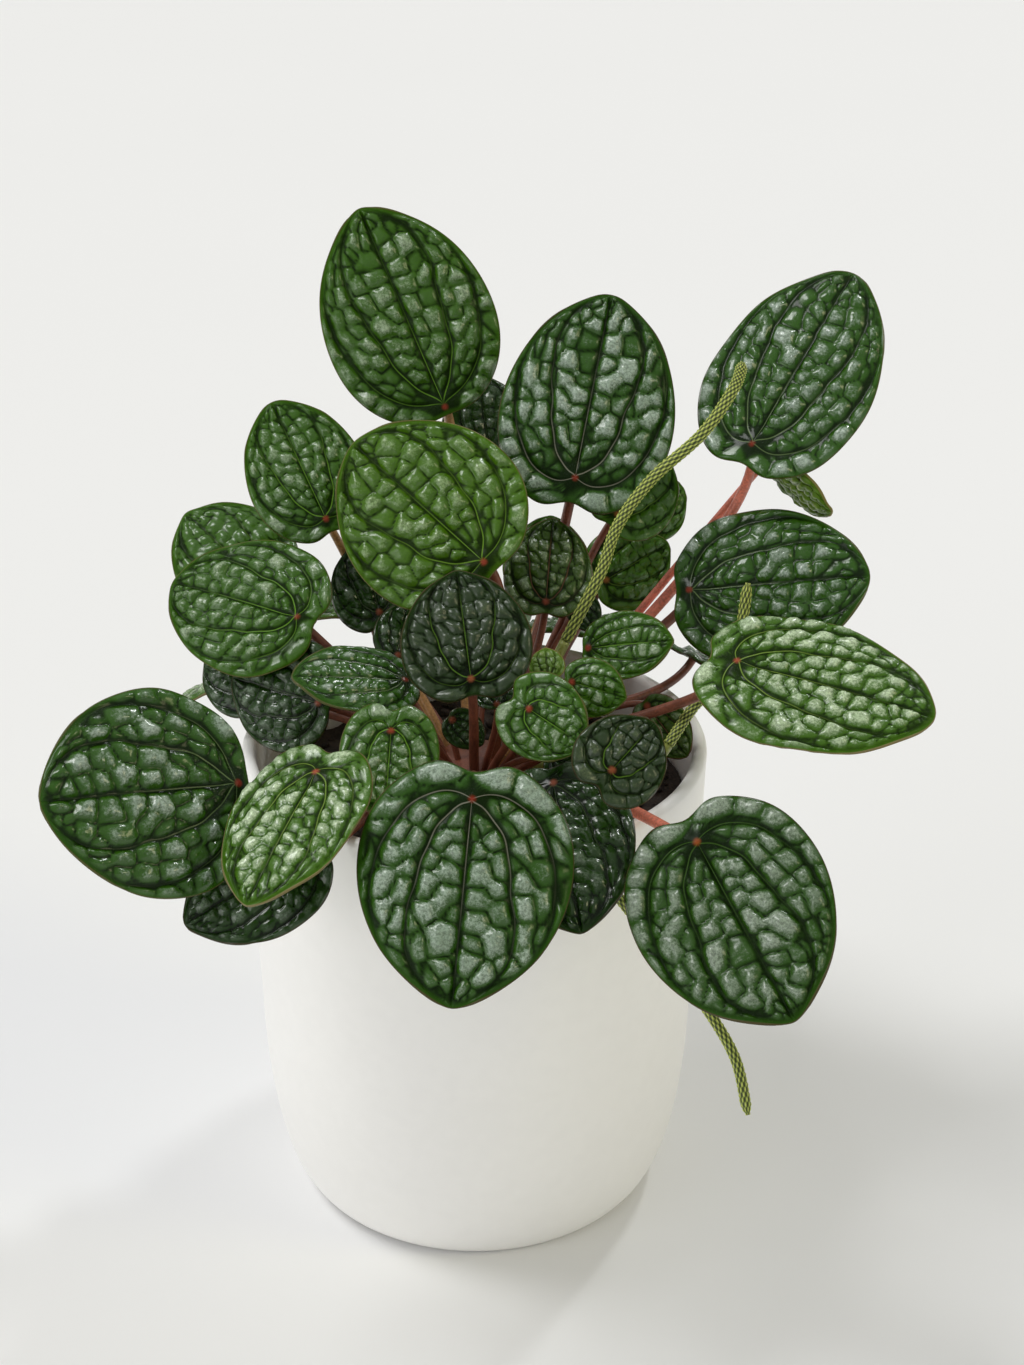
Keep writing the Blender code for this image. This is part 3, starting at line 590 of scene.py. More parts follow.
def vein_reach(leaf, line, share):
    """How far across a line lies: side veins start at the joint, sway, and swing out towards the tip."""
    _, inner, outer, edge = VEIN_LINES
    reach = np.abs(line)
    inner_now = inner + (INNER_VEIN_END - inner) * smooth(share, *INNER_VEIN_SWING)
    outer_now = outer + (OUTER_VEIN_END - outer) * smooth(share, *OUTER_VEIN_SWING)
    middle = inner_now * reach / inner
    between = inner_now + (outer_now - inner_now) * (reach - inner) / (outer - inner)
    beyond = outer_now + (edge - outer_now) * (reach - outer) / (edge - outer)
    swung = np.where(reach < inner, middle, np.where(reach < outer, between, beyond))
    phase = leaf.width * SWAY_PHASE + 2.0 * np.sign(line)
    sway = VEIN_SWAY * np.sin(share * SWAY_WAVES[0] + phase) * np.sin(share * SWAY_WAVES[1] + 2.0 * phase)
    swung = swung + sway * swung * (edge - swung) * 4.0
    fan = np.clip((reach - outer) / (edge - outer), 0.0, 1.0)
    return swung + (fan - swung) * np.exp(-share / FAN_SHARE)


def place_on_blade(leaf, line, share):
    """Where a line across (-1 to 1) and a share of the way from the joint to the tip (0 to 1) meet."""
    edge_x, edge_y = edge_of_blade(leaf, math.pi * (1.0 - share))
    midrib_x = leaf.length * share
    reach = vein_reach(leaf, line, share)
    return midrib_x + (edge_x - midrib_x) * reach, edge_y * reach * np.sign(line)


def blade_bend(leaf, x, y):
    """Large form of the blade: sides and tip bent down, with a shallow valley at the midrib."""
    side = 2.0 * y / leaf.width
    along = x / leaf.length
    bend = leaf.dome * leaf.width * (side * side - MIDRIB_VALLEY * np.abs(side))
    return -bend - leaf.curl * leaf.length * along * along


def cell_centres(leaf, cell, rng):
    """Centres of the puckers, and the slanting row between two veins that each one stands in."""
    centres = []
    rows = []
    jitter_across, jitter_along = CELL_JITTER
    for side in (-1.0, 1.0):
        for inner, outer in zip(VEIN_LINES, VEIN_LINES[1:]):
            files = max(1, round((outer - inner) * leaf.width / 2 / cell))
            count = max(3, round(leaf.length * (1.0 + ROW_EXTRA * outer) / cell))
            slant = ROW_SLANT / count
            for step in range(count):
                for file in range(files):
                    across = (file + 0.5 + rng.uniform(-jitter_across, jitter_across)) / files
                    share = (step + ROW_START + rng.uniform(-jitter_along, jitter_along)) / count
                    share = min(max(share + slant * across, CELL_ENDS[0]), CELL_ENDS[1])
                    centres.append((side * (inner + (outer - inner) * across), share))
                    rows.append((side, inner, step))
    lines, shares = np.array(centres).T
    _, row = np.unique(np.array(rows), axis=0, return_inverse=True)
    return np.stack(place_on_blade(leaf, lines, shares), 1), row.reshape(-1)


def nearest_two(points, centres, size):
    """Distances to the nearest and the second nearest centre, less each one's size, and their numbers."""
    gaps = np.linalg.norm(points[:, None, :] - centres[None, :, :], axis=2) - size
    order = np.argpartition(gaps, 1, axis=1)[:, :2]
    pair = np.take_along_axis(gaps, order, axis=1)
    swap = pair[:, 0] > pair[:, 1]
    order[swap] = order[swap][:, ::-1]
    return np.abs(pair[:, 1] - pair[:, 0]), order[:, 0], order[:, 1]


def pillow(gap, width):
    """Rises steeply out of a narrow valley and rounds off to 1."""
    return 1.0 - (1.0 - np.clip(gap / width, 0.0, 1.0)) ** PILLOW_POWER


def pucker_domes(leaf, cell, points, rng):
    """Height of the puckers at the points, the pucker that each point is on, and how many there are."""
    centres, row = cell_centres(leaf, cell, rng)
    gap, near, next_near = nearest_two(points, centres, rng.uniform(0.0, CELL_SPREAD * cell, len(centres)))
    lift = rng.uniform(*CELL_LIFTS, len(centres))
    lift[rng.random(len(centres)) < FLAT_CELLS] = FLAT_LIFT
    dome = pillow(gap, DOME_EDGE * cell)
    joined = ROW_SADDLE + (1.0 - ROW_SADDLE) * dome
    return np.where(row[near] == row[next_near], joined, dome) * lift[near], near, len(centres)


def small_lobes(leaf, cell, points, rng):
    """Finer lobes that each pucker is made of."""
    centres, _ = cell_centres(leaf, cell * LOBE_WIDTH, rng)
    gap, _, _ = nearest_two(points, centres, rng.uniform(0.0, LOBE_SPREAD * cell, len(centres)))
    return pillow(gap, LOBE_EDGE * cell)


def blade_relief(leaf, settings, line, share, seed):
    """Points of the upper face, and its masks, in which distances are in millimetres."""
    rng = np.random.default_rng(seed)
    x, y = place_on_blade(leaf, line, share)
    points = np.stack([x, y], 1)
    cell = settings.cell_least + settings.cell * leaf.width
    dome, near, count = pucker_domes(leaf, cell, points, rng)
    lobes = small_lobes(leaf, cell, points, rng)

    edge_x, edge_y = edge_of_blade(leaf, math.pi * (1.0 - share))
    span = np.hypot(edge_x - leaf.length * share, edge_y)
    reach = vein_reach(leaf, line, share)
    veins = [vein_reach(leaf, vein * np.sign(line), share) for vein in VEIN_LINES[:3]]
    vein_gap = np.min([np.abs(reach - vein) for vein in veins], axis=0) * span
    rim_gap = np.minimum((1.0 - reach) * span, leaf.length * (1.0 - share) * TIP_RIM_SHARE)
    joint_gap = np.hypot(x, y)

    band = VEIN_BAND + VEIN_BAND_AT_JOINT * np.exp(-joint_gap / (JOINT_BAND_REACH * leaf.length))
    crest = dome * (1.0 - LOBE_SHARE + LOBE_SHARE * lobes)
    crest = crest * smooth(vein_gap, VEIN_BAND_START * cell, band * cell)
    crest = crest * smooth(rim_gap, 0.0, RIM_BAND * cell)
    crest = crest * smooth(joint_gap, JOINT_BARE[0] * leaf.length, JOINT_BARE[1] * leaf.length)
    channel = CHANNEL_DEPTH * (1.0 - smooth(vein_gap, 0.0, CHANNEL_WIDTH * cell))
    wave = RIM_WAVE * np.sin(share * RIM_WAVES + seed) * reach ** RIM_WAVE_POWER
    wave = wave * smooth(share, 0.0, RIM_WAVE_FADE) * smooth(1.0 - share, 0.0, RIM_WAVE_FADE)
    relief = (crest - channel + wave - RELIEF_MIDDLE) * smooth(joint_gap, 0.0, JOINT_FLAT * leaf.length)
    height = blade_bend(leaf, x, y) + settings.pucker * leaf.width * relief + settings.thickness / 2.0
    masks = {"crest": crest, "vein_gap": vein_gap * MM, "rim_gap": rim_gap * MM,
             "joint_gap": joint_gap * MM, "cell": rng.random(count)[near]}
    return np.stack([x, y, height], 1), masks


def write_masks(bm, masks):
    """Keeps each mask in a vertex attribute of its name, for the materials."""
    layers = {name: bm.verts.layers.float.new(name) for name in masks}
    for name, values in masks.items():
        layer = layers[name]
        for vert, value in zip(bm.verts, values):
            vert[layer] = value


def make_blade(leaf, settings, seed, materials):
    """A grid with its columns along the veins, raised into puckers and given its thickness."""
    bands, stations = FINENESS[leaf.grade]
    marks = np.cumsum((0,) + bands)
    bm = bmesh.new()
    bmesh.ops.create_grid(bm, x_segments=2 * int(marks[-1]), y_segments=stations, size=1.0)
    grid = vertex_array(bm)
    line = np.sign(grid[:, 0]) * np.interp(np.abs(grid[:, 0]) * marks[-1], marks, VEIN_LINES)
    share = (grid[:, 1] + 1.0) / 2.0
    points, masks = blade_relief(leaf, settings, line, share, seed)
    place_vertices(bm, points)
    write_masks(bm, masks)
    bmesh.ops.remove_doubles(bm, verts=bm.verts, dist=BLADE_MERGE)
    bmesh.ops.recalc_face_normals(bm, faces=bm.faces)
    bm.normal_update()
    if sum(face.normal.z for face in bm.faces) < 0:
        bmesh.ops.reverse_faces(bm, faces=bm.faces)
    bmesh.ops.transform(bm, matrix=leaf_frame(leaf), verts=bm.verts)
    blade = finish_piece(bm, "blade_" + leaf.name, materials, "leaf_" + leaf.name)
    thicken = blade.modifiers.new("thickness", "SOLIDIFY")
    thicken.thickness = settings.thickness
    thicken.offset = -1.0
    thicken.material_offset = 1
    return blade


def path_frames(points):
    """Two directions across the path at each point, carried along without twist. Its ends are double."""
    ahead = np.gradient(points[1:-1], axis=0)
    ahead = np.vstack([ahead[:1], ahead, ahead[-1:]])
    ahead /= np.linalg.norm(ahead, axis=1, keepdims=True)
    side = np.array((0.0, 0.0, 1.0)) if abs(ahead[0][2]) < 0.9 else np.array((1.0, 0.0, 0.0))
    sides = []
    for direction in ahead:
        side = side - direction * side.dot(direction)
        side = side / np.linalg.norm(side)
        sides.append(side)
    sides = np.array(sides)
    return sides, np.cross(ahead, sides)


def add_tube(bm, points, radii, sides, material_index, bumps=None):
    """A closed round stem along the points: a grid wrapped round the path, drawn together at both ends.

    Its "raised" attribute tells how far the bumps lift each spot, in millimetres.
    """
    steps = len(points) - 1
    raised = bm.verts.layers.float.get("raised") or bm.verts.layers.float.new("raised")
    made = bmesh.ops.create_grid(bm, x_segments=sides, y_segments=steps, size=1.0)
    verts = made["verts"]
    grid = np.array([vert.co for vert in verts])
    angle = grid[:, 0] * math.pi
    station = np.rint((grid[:, 1] + 1.0) / 2.0 * steps).astype(int)
    across, other = path_frames(points)
    radius = radii[station]
    if bumps is not None:
        radius = radius + bumps(angle, station) * (radius > 0.0)
    spot = points[station] + (across[station] * np.cos(angle)[:, None]
                              + other[station] * np.sin(angle)[:, None]) * radius[:, None]
    for vert, point, value in zip(verts, spot, (radius - radii[station]) * MM):
        vert.co = point
        vert[raised] = value
    for face in {face for vert in verts for face in vert.link_faces}:
        face.material_index = material_index
    bmesh.ops.remove_doubles(bm, verts=verts, dist=TUBE_MERGE)


def bezier_points(points, steps):
    a, b, c, d = (np.array(point) for point in points)
    share = np.linspace(0.0, 1.0, steps)[:, None]
    rest = 1.0 - share
    return a * rest ** 3 + b * 3 * rest * rest * share + c * 3 * rest * share * share + d * share ** 3


def root_of(target):
    """Where a stalk leaves the crown on its way to the target, and the direction it leaves in."""
    outward = Vector((target.x, target.y, 0.0))
    spread = min(outward.length / ROOT_REACH, 1.0)
    heading = outward.normalized() if outward.length > MERGE else Vector((0.0, -1.0, 0.0))
    start = heading * (ROOT_RADII[0] + ROOT_RADII[1] * spread) + Vector((0.0, 0.0, SOIL_TOP + ROOT_RISE))
    leaving = (heading * (ROOT_SLOPES[0] + ROOT_SLOPES[1] * spread) + Vector((0.0, 0.0, 1.0))).normalized()
    return start, leaving


def stalk_points(end, arriving, bow, steps):
    start, leaving = root_of(end)
    span = (end - start).length
    bend = Vector(bow)
    first = start + leaving * span * STALK_HANDLES[0] + bend
    last = end - arriving * span * STALK_HANDLES[1] + bend
    return bezier_points((start, first, last, end), steps)


def close_ends(points, radii):
    """Adds a drawn-in ring at each end, so that the stem closes in a point on its cap."""
    return np.vstack([points[:1], points, points[-1:]]), np.concatenate([[0.0], radii, [0.0]])


def leaf_stalk(leaf, steps):
    """Points and radii of the stalk that ends under a leaf's joint."""
    place = leaf_frame(leaf)
    normal = place.col[2].to_3d()
    midrib = place.col[0].to_3d()
    end = place.translation - normal * (BLADE_HALF + GAP)
    arriving = (normal + midrib * STALK_TURN).normalized()
    points = stalk_points(end - normal * STALK_STUB, arriving, leaf.bow, steps)
    points = np.vstack([points, np.array(end)])
    radius = STALK_RADIUS + STALK_RADIUS_SHARE * leaf.width
    return points, radius * np.linspace(*STALK_TAPER, len(points))


def spline_through(points, count):
    """Evenly counted points on a smooth curve through the given ones."""
    padded = [points[0] * 2 - points[1], *points, points[-1] * 2 - points[-2]]
    made = []
    for place in np.linspace(0.0, len(points) - 1, count):
        first = min(int(place), len(points) - 2)
        share = place - first
        a, b, c, d = padded[first:first + 4]
        square = (a * 2 - b * 5 + c * 4 - d) * share ** 2
        cube = (b * 3 - a - c * 3 + d) * share ** 3
        made.append((b * 2 + (c - a) * share + square + cube) / 2)
    return np.array(made)


def spike_points(spike, count):
    return spline_through([seen_at(pixel, eye) for pixel, eye in zip(spike.points_px, spike.eyes)], count)


def make_spike(spike, settings, material):
    """A slim rod whose florets stand in two crossing spirals."""
    rough = spike_points(spike, SPIKE_ROUGH_POINTS)
    length = float(np.linalg.norm(np.diff(rough, axis=0), axis=1).sum())
    steps = round(length / settings.grain) * FLORET_RINGS
    florets = round(math.tau * spike.radius / settings.grain)
    tip = np.linspace(1.0, 0.0, steps)
    radii = FLORET_BASE * spike.radius * np.sqrt(np.clip(tip * SPIKE_ROUNDING, SPIKE_TIP_LEAST, 1.0))
    points, radii = close_ends(spike_points(spike, steps), radii)

    def bumps(angle, station):
        twist = math.pi * station / FLORET_RINGS
        turn = florets * angle + twist
        other = florets * angle - twist
        return settings.rise * (np.cos(turn) + np.cos(other) + FLORET_UNEVEN * np.cos(2 * turn + station))

    bm = bmesh.new()
    add_tube(bm, points, radii, florets * FLORET_SIDES, 0, bumps)
    bmesh.ops.recalc_face_normals(bm, faces=bm.faces)
    return finish_piece(bm, "florets_" + spike.name, [material], "spike_" + spike.name)


def spike_stalk(spike, steps):
    """Points and radii of the stalk that ends under a spike."""
    path = spike_points(spike, SPIKE_END_POINTS)
    arriving = Vector(path[1] - path[0]).normalized()
    end = Vector(path[0]) - arriving * GAP
    points = stalk_points(end - arriving * STALK_STUB, arriving, spike.bow, steps)
    points = np.vstack([points, np.array(end)])
    return points, np.full(len(points), spike.radius * SPIKE_STALK_SHARE)


def make_stalks(settings, materials):
    """Every stalk with the crown that they grow from, as one piece."""
    stalks = [(leaf_stalk(leaf, settings.steps), STALK_TINTS.get(leaf.name, "brown"))
              for leaf in LEAVES + REAR_LEAVES]
    stalks += [(spike_stalk(spike, settings.steps), "lime") for spike in SPIKES]
    tints = list(TINTS)
    bm = bmesh.new()
    for (points, radii), tint in stalks:
        points, radii = close_ends(points, radii)
        add_tube(bm, points, radii, settings.sides, tints.index(tint))
    add_crown(bm)
    bmesh.ops.recalc_face_normals(bm, faces=bm.faces)
    return finish_piece(bm, "stalks", materials, "crown")


def add_turned(bm, profile, steps):
    """A solid turned about Z from (radius, height) points that start and end on the axis."""
    verts = [bm.verts.new((radius, 0.0, height)) for radius, height in profile]
    edges = [bm.edges.new(pair) for pair in zip(verts, verts[1:])]
    bmesh.ops.spin(bm, geom=verts + edges, cent=(0, 0, 0), axis=(0, 0, 1), angle=math.tau, steps=steps,
                   use_merge=True)
    bmesh.ops.remove_doubles(bm, verts=bm.verts, dist=MERGE)


def add_crown(bm):
    """The short stem that the stalks leave, down in its hole in the soil."""
    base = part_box("crown")[0].z
    shoulder = SOIL_TOP + CROWN_SHOULDER
    top = SOIL_TOP + CROWN_RISE
    profile = [(0.0, base), (CROWN_ROOT_RADIUS, base), (CROWN_ROOT_RADIUS, shoulder - CROWN_SHOULDER_DROP)]
    profile += [(CROWN_RADIUS * share, shoulder + rise) for share, rise in CROWN_SHOULDER_CURVE]
    profile += [(CROWN_RADIUS * share, top + rise) for share, rise in CROWN_TOP_CURVE]
    add_turned(bm, [*profile, (0.0, top)], CROWN_STEPS)


def arc(centre, radius, start, end, count):
    return [(centre[0] + radius * math.cos(angle), centre[1] + radius * math.sin(angle))
            for angle in np.linspace(start, end, count)]


def make_pot(settings, material):
    """The turned pot: foot, wall, rounded lip, inside wall and floor."""
    foot = [POT_WAIST_HEIGHT * (1.0 - math.cos(angle)) for angle in np.linspace(0.0, math.pi / 2, 28)]
    wall = np.linspace(POT_WAIST_HEIGHT + 0.010, POT_WALL_TOP, 7)
    outside = [(0.0, 0.0)] + [(pot_radius(height), height) for height in [*foot, *wall]]
    lip = settings.wall / 2
    rounded = arc((POT_HIGH.x - lip, POT_HIGH.z - lip), lip, 0.0, math.pi, 13)
    depths = np.linspace(POT_INSIDE_TOP, POT_FLOOR_ROUND, 9)
    inside = [(pot_radius(height) - settings.wall, height) for height in depths]
    floor = [(POT_FOOT_RADIUS - settings.wall, POT_FLOOR), (0.0, POT_FLOOR)]
    bm = bmesh.new()
    add_turned(bm, outside + rounded + inside + floor, settings.steps)
    bmesh.ops.recalc_face_normals(bm, faces=bm.faces)
    pot = finish_piece(bm, "white_pot", [material], "pot")
    pot.data.set_sharp_from_angle(angle=POT_SHARP_ANGLE)
    return pot


def scatter_crumbs(bm, count):
    """Small flattened lumps at random places on the soil, outside the crown."""
    rng = np.random.default_rng(CRUMB_SEED)
    for _ in range(count):
        radius = math.sqrt(rng.uniform(0.0, 1.0)) * (SOIL_RADIUS - CRUMB_EDGE_GAP)
        turn = rng.uniform(0.0, math.tau)
        size = rng.uniform(*CRUMB_SIZES)
        if radius < CROWN_RADIUS + CRUMB_CROWN_GAP:
            continue
        spot = Vector((radius * math.cos(turn), radius * math.sin(turn), SOIL_TOP + size * CRUMB_LIFT))
        squash = Matrix.Diagonal((*(rng.uniform(*span) for span in CRUMB_SQUASH), 1.0))
        place = Matrix.Translation(spot) @ Matrix.Rotation(rng.uniform(0.0, 6.0), 4, "Z") @ squash
        bmesh.ops.create_icosphere(bm, subdivisions=1, radius=size, matrix=place)


def make_soil(settings, material):
    """The filled soil, roughened on top, with loose crumbs on it."""
    hole = CROWN_ROOT_RADIUS + 2 * GAP
    side = [(0.0, SOIL_LOW.z), (POT_FOOT_RADIUS - SOIL_FOOT_GAP, SOIL_LOW.z),
            (SOIL_SIDE_RADIUS, SOIL_SIDE_HEIGHT), (SOIL_RADIUS, POT_WAIST_HEIGHT)]
    top = [(radius, SOIL_TOP) for radius in np.linspace(SOIL_RADIUS - SOIL_EDGE_GAP, hole, SOIL_RINGS)]
    hole_floor = SOIL_TOP - SOIL_HOLE_DEPTH
    bm = bmesh.new()
    add_turned(bm, side + top + [(hole, hole_floor), (0.0, hole_floor)], SOIL_STEPS)
    for vert in bm.verts:
        if vert.co.z > SOIL_TOP - SOIL_CALM and vert.co.xy.length > hole + SOIL_CALM:
            vert.co.z += sum(height * noise.noise(vert.co * fineness) for fineness, height in SOIL_LUMPS)
    scatter_crumbs(bm, settings.crumbs)
    bmesh.ops.recalc_face_normals(bm, faces=bm.faces)
    return finish_piece(bm, "potting_soil", [material], "soil")


# Materials


class Nodes:
    """Short ways to place and join shader nodes in one tree."""

    def __init__(self, tree):
        self.tree = tree

    def add(self, kind, **settings):
        node = self.tree.nodes.new(kind)
        for setting, value in settings.items():
            setattr(node, setting, value)
        return node

    def plug(self, value, socket):
        """Joins a socket's output to the socket, or sets a plain value on it."""
        if hasattr(value, "is_linked"):
            self.tree.links.new(value, socket)
        else:
            socket.default_value = value

    def math(self, operation, first, second):
        node = self.add("ShaderNodeMath", operation=operation)
        self.plug(first, node.inputs[0])
        self.plug(second, node.inputs[1])
        return node.outputs[0]

    def plus(self, first, second):
        return self.math("ADD", first, second)

    def minus(self, first, second):
        return self.math("SUBTRACT", first, second)

    def times(self, first, second):
        return self.math("MULTIPLY", first, second)

    def ramp(self, value, span, start=0.0, end=1.0):
        """Goes smoothly from start to end while the value crosses the span."""
        node = self.add("ShaderNodeMapRange", interpolation_type="SMOOTHSTEP")
        for item, socket in zip((value, *span, start, end), node.inputs):
            self.plug(item, socket)
        return node.outputs[0]

    def mix(self, share, first, second):
        node = self.add("ShaderNodeMix", data_type="RGBA")
        self.plug(share, node.inputs["Factor"])
        self.plug(first, node.inputs[6])
        self.plug(second, node.inputs[7])
        return node.outputs[2]

    def scale(self, vector, share):
        """A place made larger or smaller, or a colour made paler or darker."""
        node = self.add("ShaderNodeVectorMath", operation="SCALE")
        self.plug(vector, node.inputs[0])
        self.plug(share, node.inputs["Scale"])
        return node.outputs[0]

    def mask(self, name):
        return self.add("ShaderNodeAttribute", attribute_name=name).outputs["Fac"]

    def place(self):
        return self.add("ShaderNodeTexCoord").outputs["Object"]

    def noise(self, place, scale, detail=3.0, roughness=0.5):
        node = self.add("ShaderNodeTexNoise")
        self.plug(place, node.inputs["Vector"])
        self.plug(scale, node.inputs["Scale"])
        self.plug(detail, node.inputs["Detail"])
        self.plug(roughness, node.inputs["Roughness"])
        return node.outputs["Fac"]

    def bump(self, height, strength, distance):
        node = self.add("ShaderNodeBump")
        self.plug(height, node.inputs["Height"])
        self.plug(strength, node.inputs["Strength"])
        self.plug(distance, node.inputs["Distance"])
        return node.outputs["Normal"]


def rgba(colour):
    return (*colour, 1.0)


def shaded(colour, share):
    return tuple(value * share for value in colour)


def new_group(name, inputs, outputs):
    """An empty node group with named sockets, and short ways to use it."""
    group = bpy.data.node_groups.new(name, "ShaderNodeTree")
    for socket, kind in inputs:
        group.interface.new_socket(socket, in_out="INPUT", socket_type=kind)
    for socket, kind in outputs:
        group.interface.new_socket(socket, in_out="OUTPUT", socket_type=kind)
    nodes = Nodes(group)
    return group, nodes, nodes.add("NodeGroupInput").outputs, nodes.add("NodeGroupOutput").inputs


COLOUR = "NodeSocketColor"
NUMBER = "NodeSocketFloat"


def leaf_skin_group():
    """Upper face of a blade: green valleys with painted shade in their creases, silvery speckled puckers,
    thin veins whose lines are partly painted highlight, edge and joint.
    """
    inputs = [("Valley", COLOUR), ("Crest", COLOUR), ("Vein", COLOUR), ("Rim", COLOUR), ("Joint", COLOUR),
              ("Crest share", NUMBER), ("Vein share", NUMBER), ("Roughness", NUMBER),
              ("Valley gloss", NUMBER)]
    outputs = [("Colour", COLOUR), ("Roughness", NUMBER), ("Gloss", NUMBER), ("Height", NUMBER)]
    group, nodes, given, made = new_group("leaf_skin", inputs, outputs)
    place = nodes.place()
    speckle = nodes.noise(place, SPECKLE_SCALE, 3.0, 0.75)
    cloud = nodes.noise(place, CLOUD_SCALE, 3.0, 0.6)
    patch = nodes.noise(place, PATCH_SCALE, 2.0, 0.5)
    crest = nodes.mask("crest")
    rim_gap = nodes.mask("rim_gap")
    joint_gap = nodes.mask("joint_gap")

    speckled = nodes.times(nodes.minus(speckle, 0.5), SPECKLE_SHARE)
    clouded = nodes.times(nodes.minus(cloud, 0.5), CLOUD_SHARE)
    lack = nodes.times(nodes.minus(1.0, given["Crest share"]), 0.5)
    silver = nodes.minus(nodes.plus(crest, nodes.plus(speckled, clouded)), lack)
    silver = nodes.ramp(silver, SILVER_SPAN)
    silver = nodes.times(silver, nodes.ramp(nodes.mask("cell"), FLAT_CELL_SPAN, FLAT_CELL_SILVER))
    silver = nodes.times(silver, nodes.ramp(patch, PATCH_SPAN, PATCH_SILVER))

    valley = given["Valley"]
    # Painted shade: the valley green darkens towards the bottom of each crease
    shaded_valley = nodes.mix(nodes.ramp(crest, CREASE_SHADE_SPAN), *(nodes.scale(valley, shade) for shade in VALLEY_PAINTED_SHADES))
    pores = nodes.ramp(speckle, PORE_SPAN)
    pored = nodes.mix(pores, *(nodes.scale(given["Crest"], shade) for shade in CREST_SHADES))
    skin = nodes.mix(silver, shaded_valley, pored)
    margin = nodes.ramp(rim_gap, MARGIN_MM, MARGIN_SHARE, 0.0)
    skin = nodes.mix(margin, skin, nodes.scale(valley, MARGIN_SHADE))
    # Thin line along each vein: partly the vein's own colour, partly a painted highlight of the gloss along
    # it
    line = nodes.ramp(nodes.mask("vein_gap"), VEIN_LINE_AND_HIGHLIGHT_MM, 1.0, 0.0)
    line = nodes.times(line, nodes.ramp(rim_gap, VEIN_END_MM))
    line = nodes.times(line, nodes.ramp(joint_gap, VEIN_FADE_MM, 1.0, VEIN_FAR_SHARE))
    skin = nodes.mix(nodes.times(line, given["Vein share"]), skin, given["Vein"])
    skin = nodes.mix(nodes.ramp(rim_gap, RIM_LINE_MM, RIM_SHARE, 0.0), skin, given["Rim"])
    spot = nodes.ramp(nodes.plus(joint_gap, cloud), JOINT_SPOT_MM, JOINT_SHARE, 0.0)
    nodes.plug(nodes.mix(spot, skin, given["Joint"]), made["Colour"])

    dull = nodes.times(nodes.plus(silver, speckle), SILVER_DULLNESS)
    nodes.plug(nodes.plus(given["Roughness"], dull), made["Roughness"])
    nodes.plug(nodes.ramp(crest, GLOSS_SPAN, given["Valley gloss"], 1.0), made["Gloss"])
    nodes.plug(nodes.plus(speckle, cloud), made["Height"])
    return group


def grain_group():
    """Slight mottling and fine grain for pot, soil, stalks, florets and the underside of the blades."""
    inputs = [("Base", COLOUR), ("Dark", COLOUR), ("Scale share", NUMBER), ("Contrast", NUMBER)]
    outputs = [("Colour", COLOUR), ("Grain", NUMBER)]
    group, nodes, given, made = new_group("fine_grain", inputs, outputs)
    place = nodes.scale(nodes.place(), given["Scale share"])
    coarse, fine = (nodes.noise(place, scale) for scale in GRAIN_SCALES)
    both = nodes.times(nodes.plus(coarse, fine), 0.5)
    share = nodes.times(nodes.ramp(both, GRAIN_SPAN), given["Contrast"])
    nodes.plug(nodes.mix(share, given["Base"], given["Dark"]), made["Colour"])
    nodes.plug(both, made["Grain"])
    return group


def new_material(name, roughness):
    material = bpy.data.materials.new(name)
    material.use_nodes = True
    shader = material.node_tree.nodes["Principled BSDF"]
    shader.inputs["Roughness"].default_value = roughness
    return material, Nodes(material.node_tree), shader


def place_group(nodes, group, **values):
    node = nodes.add("ShaderNodeGroup", node_tree=group)
    for name, value in values.items():
        node.inputs[name.replace("_", " ")].default_value = value
    return node


def leaf_material(name, look, skin):
    material, nodes, shader = new_material("leaf_" + name, look.roughness)
    node = place_group(nodes, skin, Valley=rgba(look.valley), Crest=rgba(look.crest), Vein=rgba(look.vein),
                       Rim=rgba(look.rim), Joint=rgba(look.joint), Crest_share=look.crest_share,
                       Vein_share=look.vein_share, Roughness=look.roughness, Valley_gloss=look.valley_gloss)
    nodes.plug(node.outputs["Colour"], shader.inputs["Base Color"])
    nodes.plug(node.outputs["Roughness"], shader.inputs["Roughness"])
    nodes.plug(node.outputs["Gloss"], shader.inputs["Coat Weight"])
    nodes.plug(nodes.bump(node.outputs["Height"], *LEAF_BUMP), shader.inputs["Normal"])
    nodes.plug(LEAF_SPECULAR, shader.inputs["Specular IOR Level"])
    nodes.plug(look.roughness + COAT_DULLNESS, shader.inputs["Coat Roughness"])
    return material


def underside_material(grain):
    """Plain green with a fine grain and reddish veins."""
    material, nodes, shader = new_material("leaf_underside", 0.5)
    node = place_group(nodes, grain, Base=rgba(UNDERSIDE_GREEN), Dark=rgba(UNDERSIDE_SHADE),
                       Scale_share=1.0, Contrast=0.6)
    vein = nodes.ramp(nodes.mask("vein_gap"), UNDERSIDE_VEIN_MM, 0.75, 0.0)
    nodes.plug(nodes.mix(vein, node.outputs["Colour"], rgba(UNDERSIDE_VEIN)), shader.inputs["Base Color"])
    nodes.plug(nodes.bump(node.outputs["Grain"], 0.3, 0.0003), shader.inputs["Normal"])
    return material


def grained_material(name, grain, base, dark, scale, contrast, roughness, bump, coat=0.0):
    """A base colour mottled with a second one, on a finely grained surface."""
    material, nodes, shader = new_material(name, roughness)
    node = place_group(nodes, grain, Base=rgba(base), Dark=rgba(dark), Scale_share=scale, Contrast=contrast)
    nodes.plug(node.outputs["Colour"], shader.inputs["Base Color"])
    nodes.plug(nodes.bump(node.outputs["Grain"], bump, GRAIN_BUMP), shader.inputs["Normal"])
    nodes.plug(coat, shader.inputs["Coat Weight"])
    nodes.plug(COAT_ROUGHNESS, shader.inputs["Coat Roughness"])
    return material


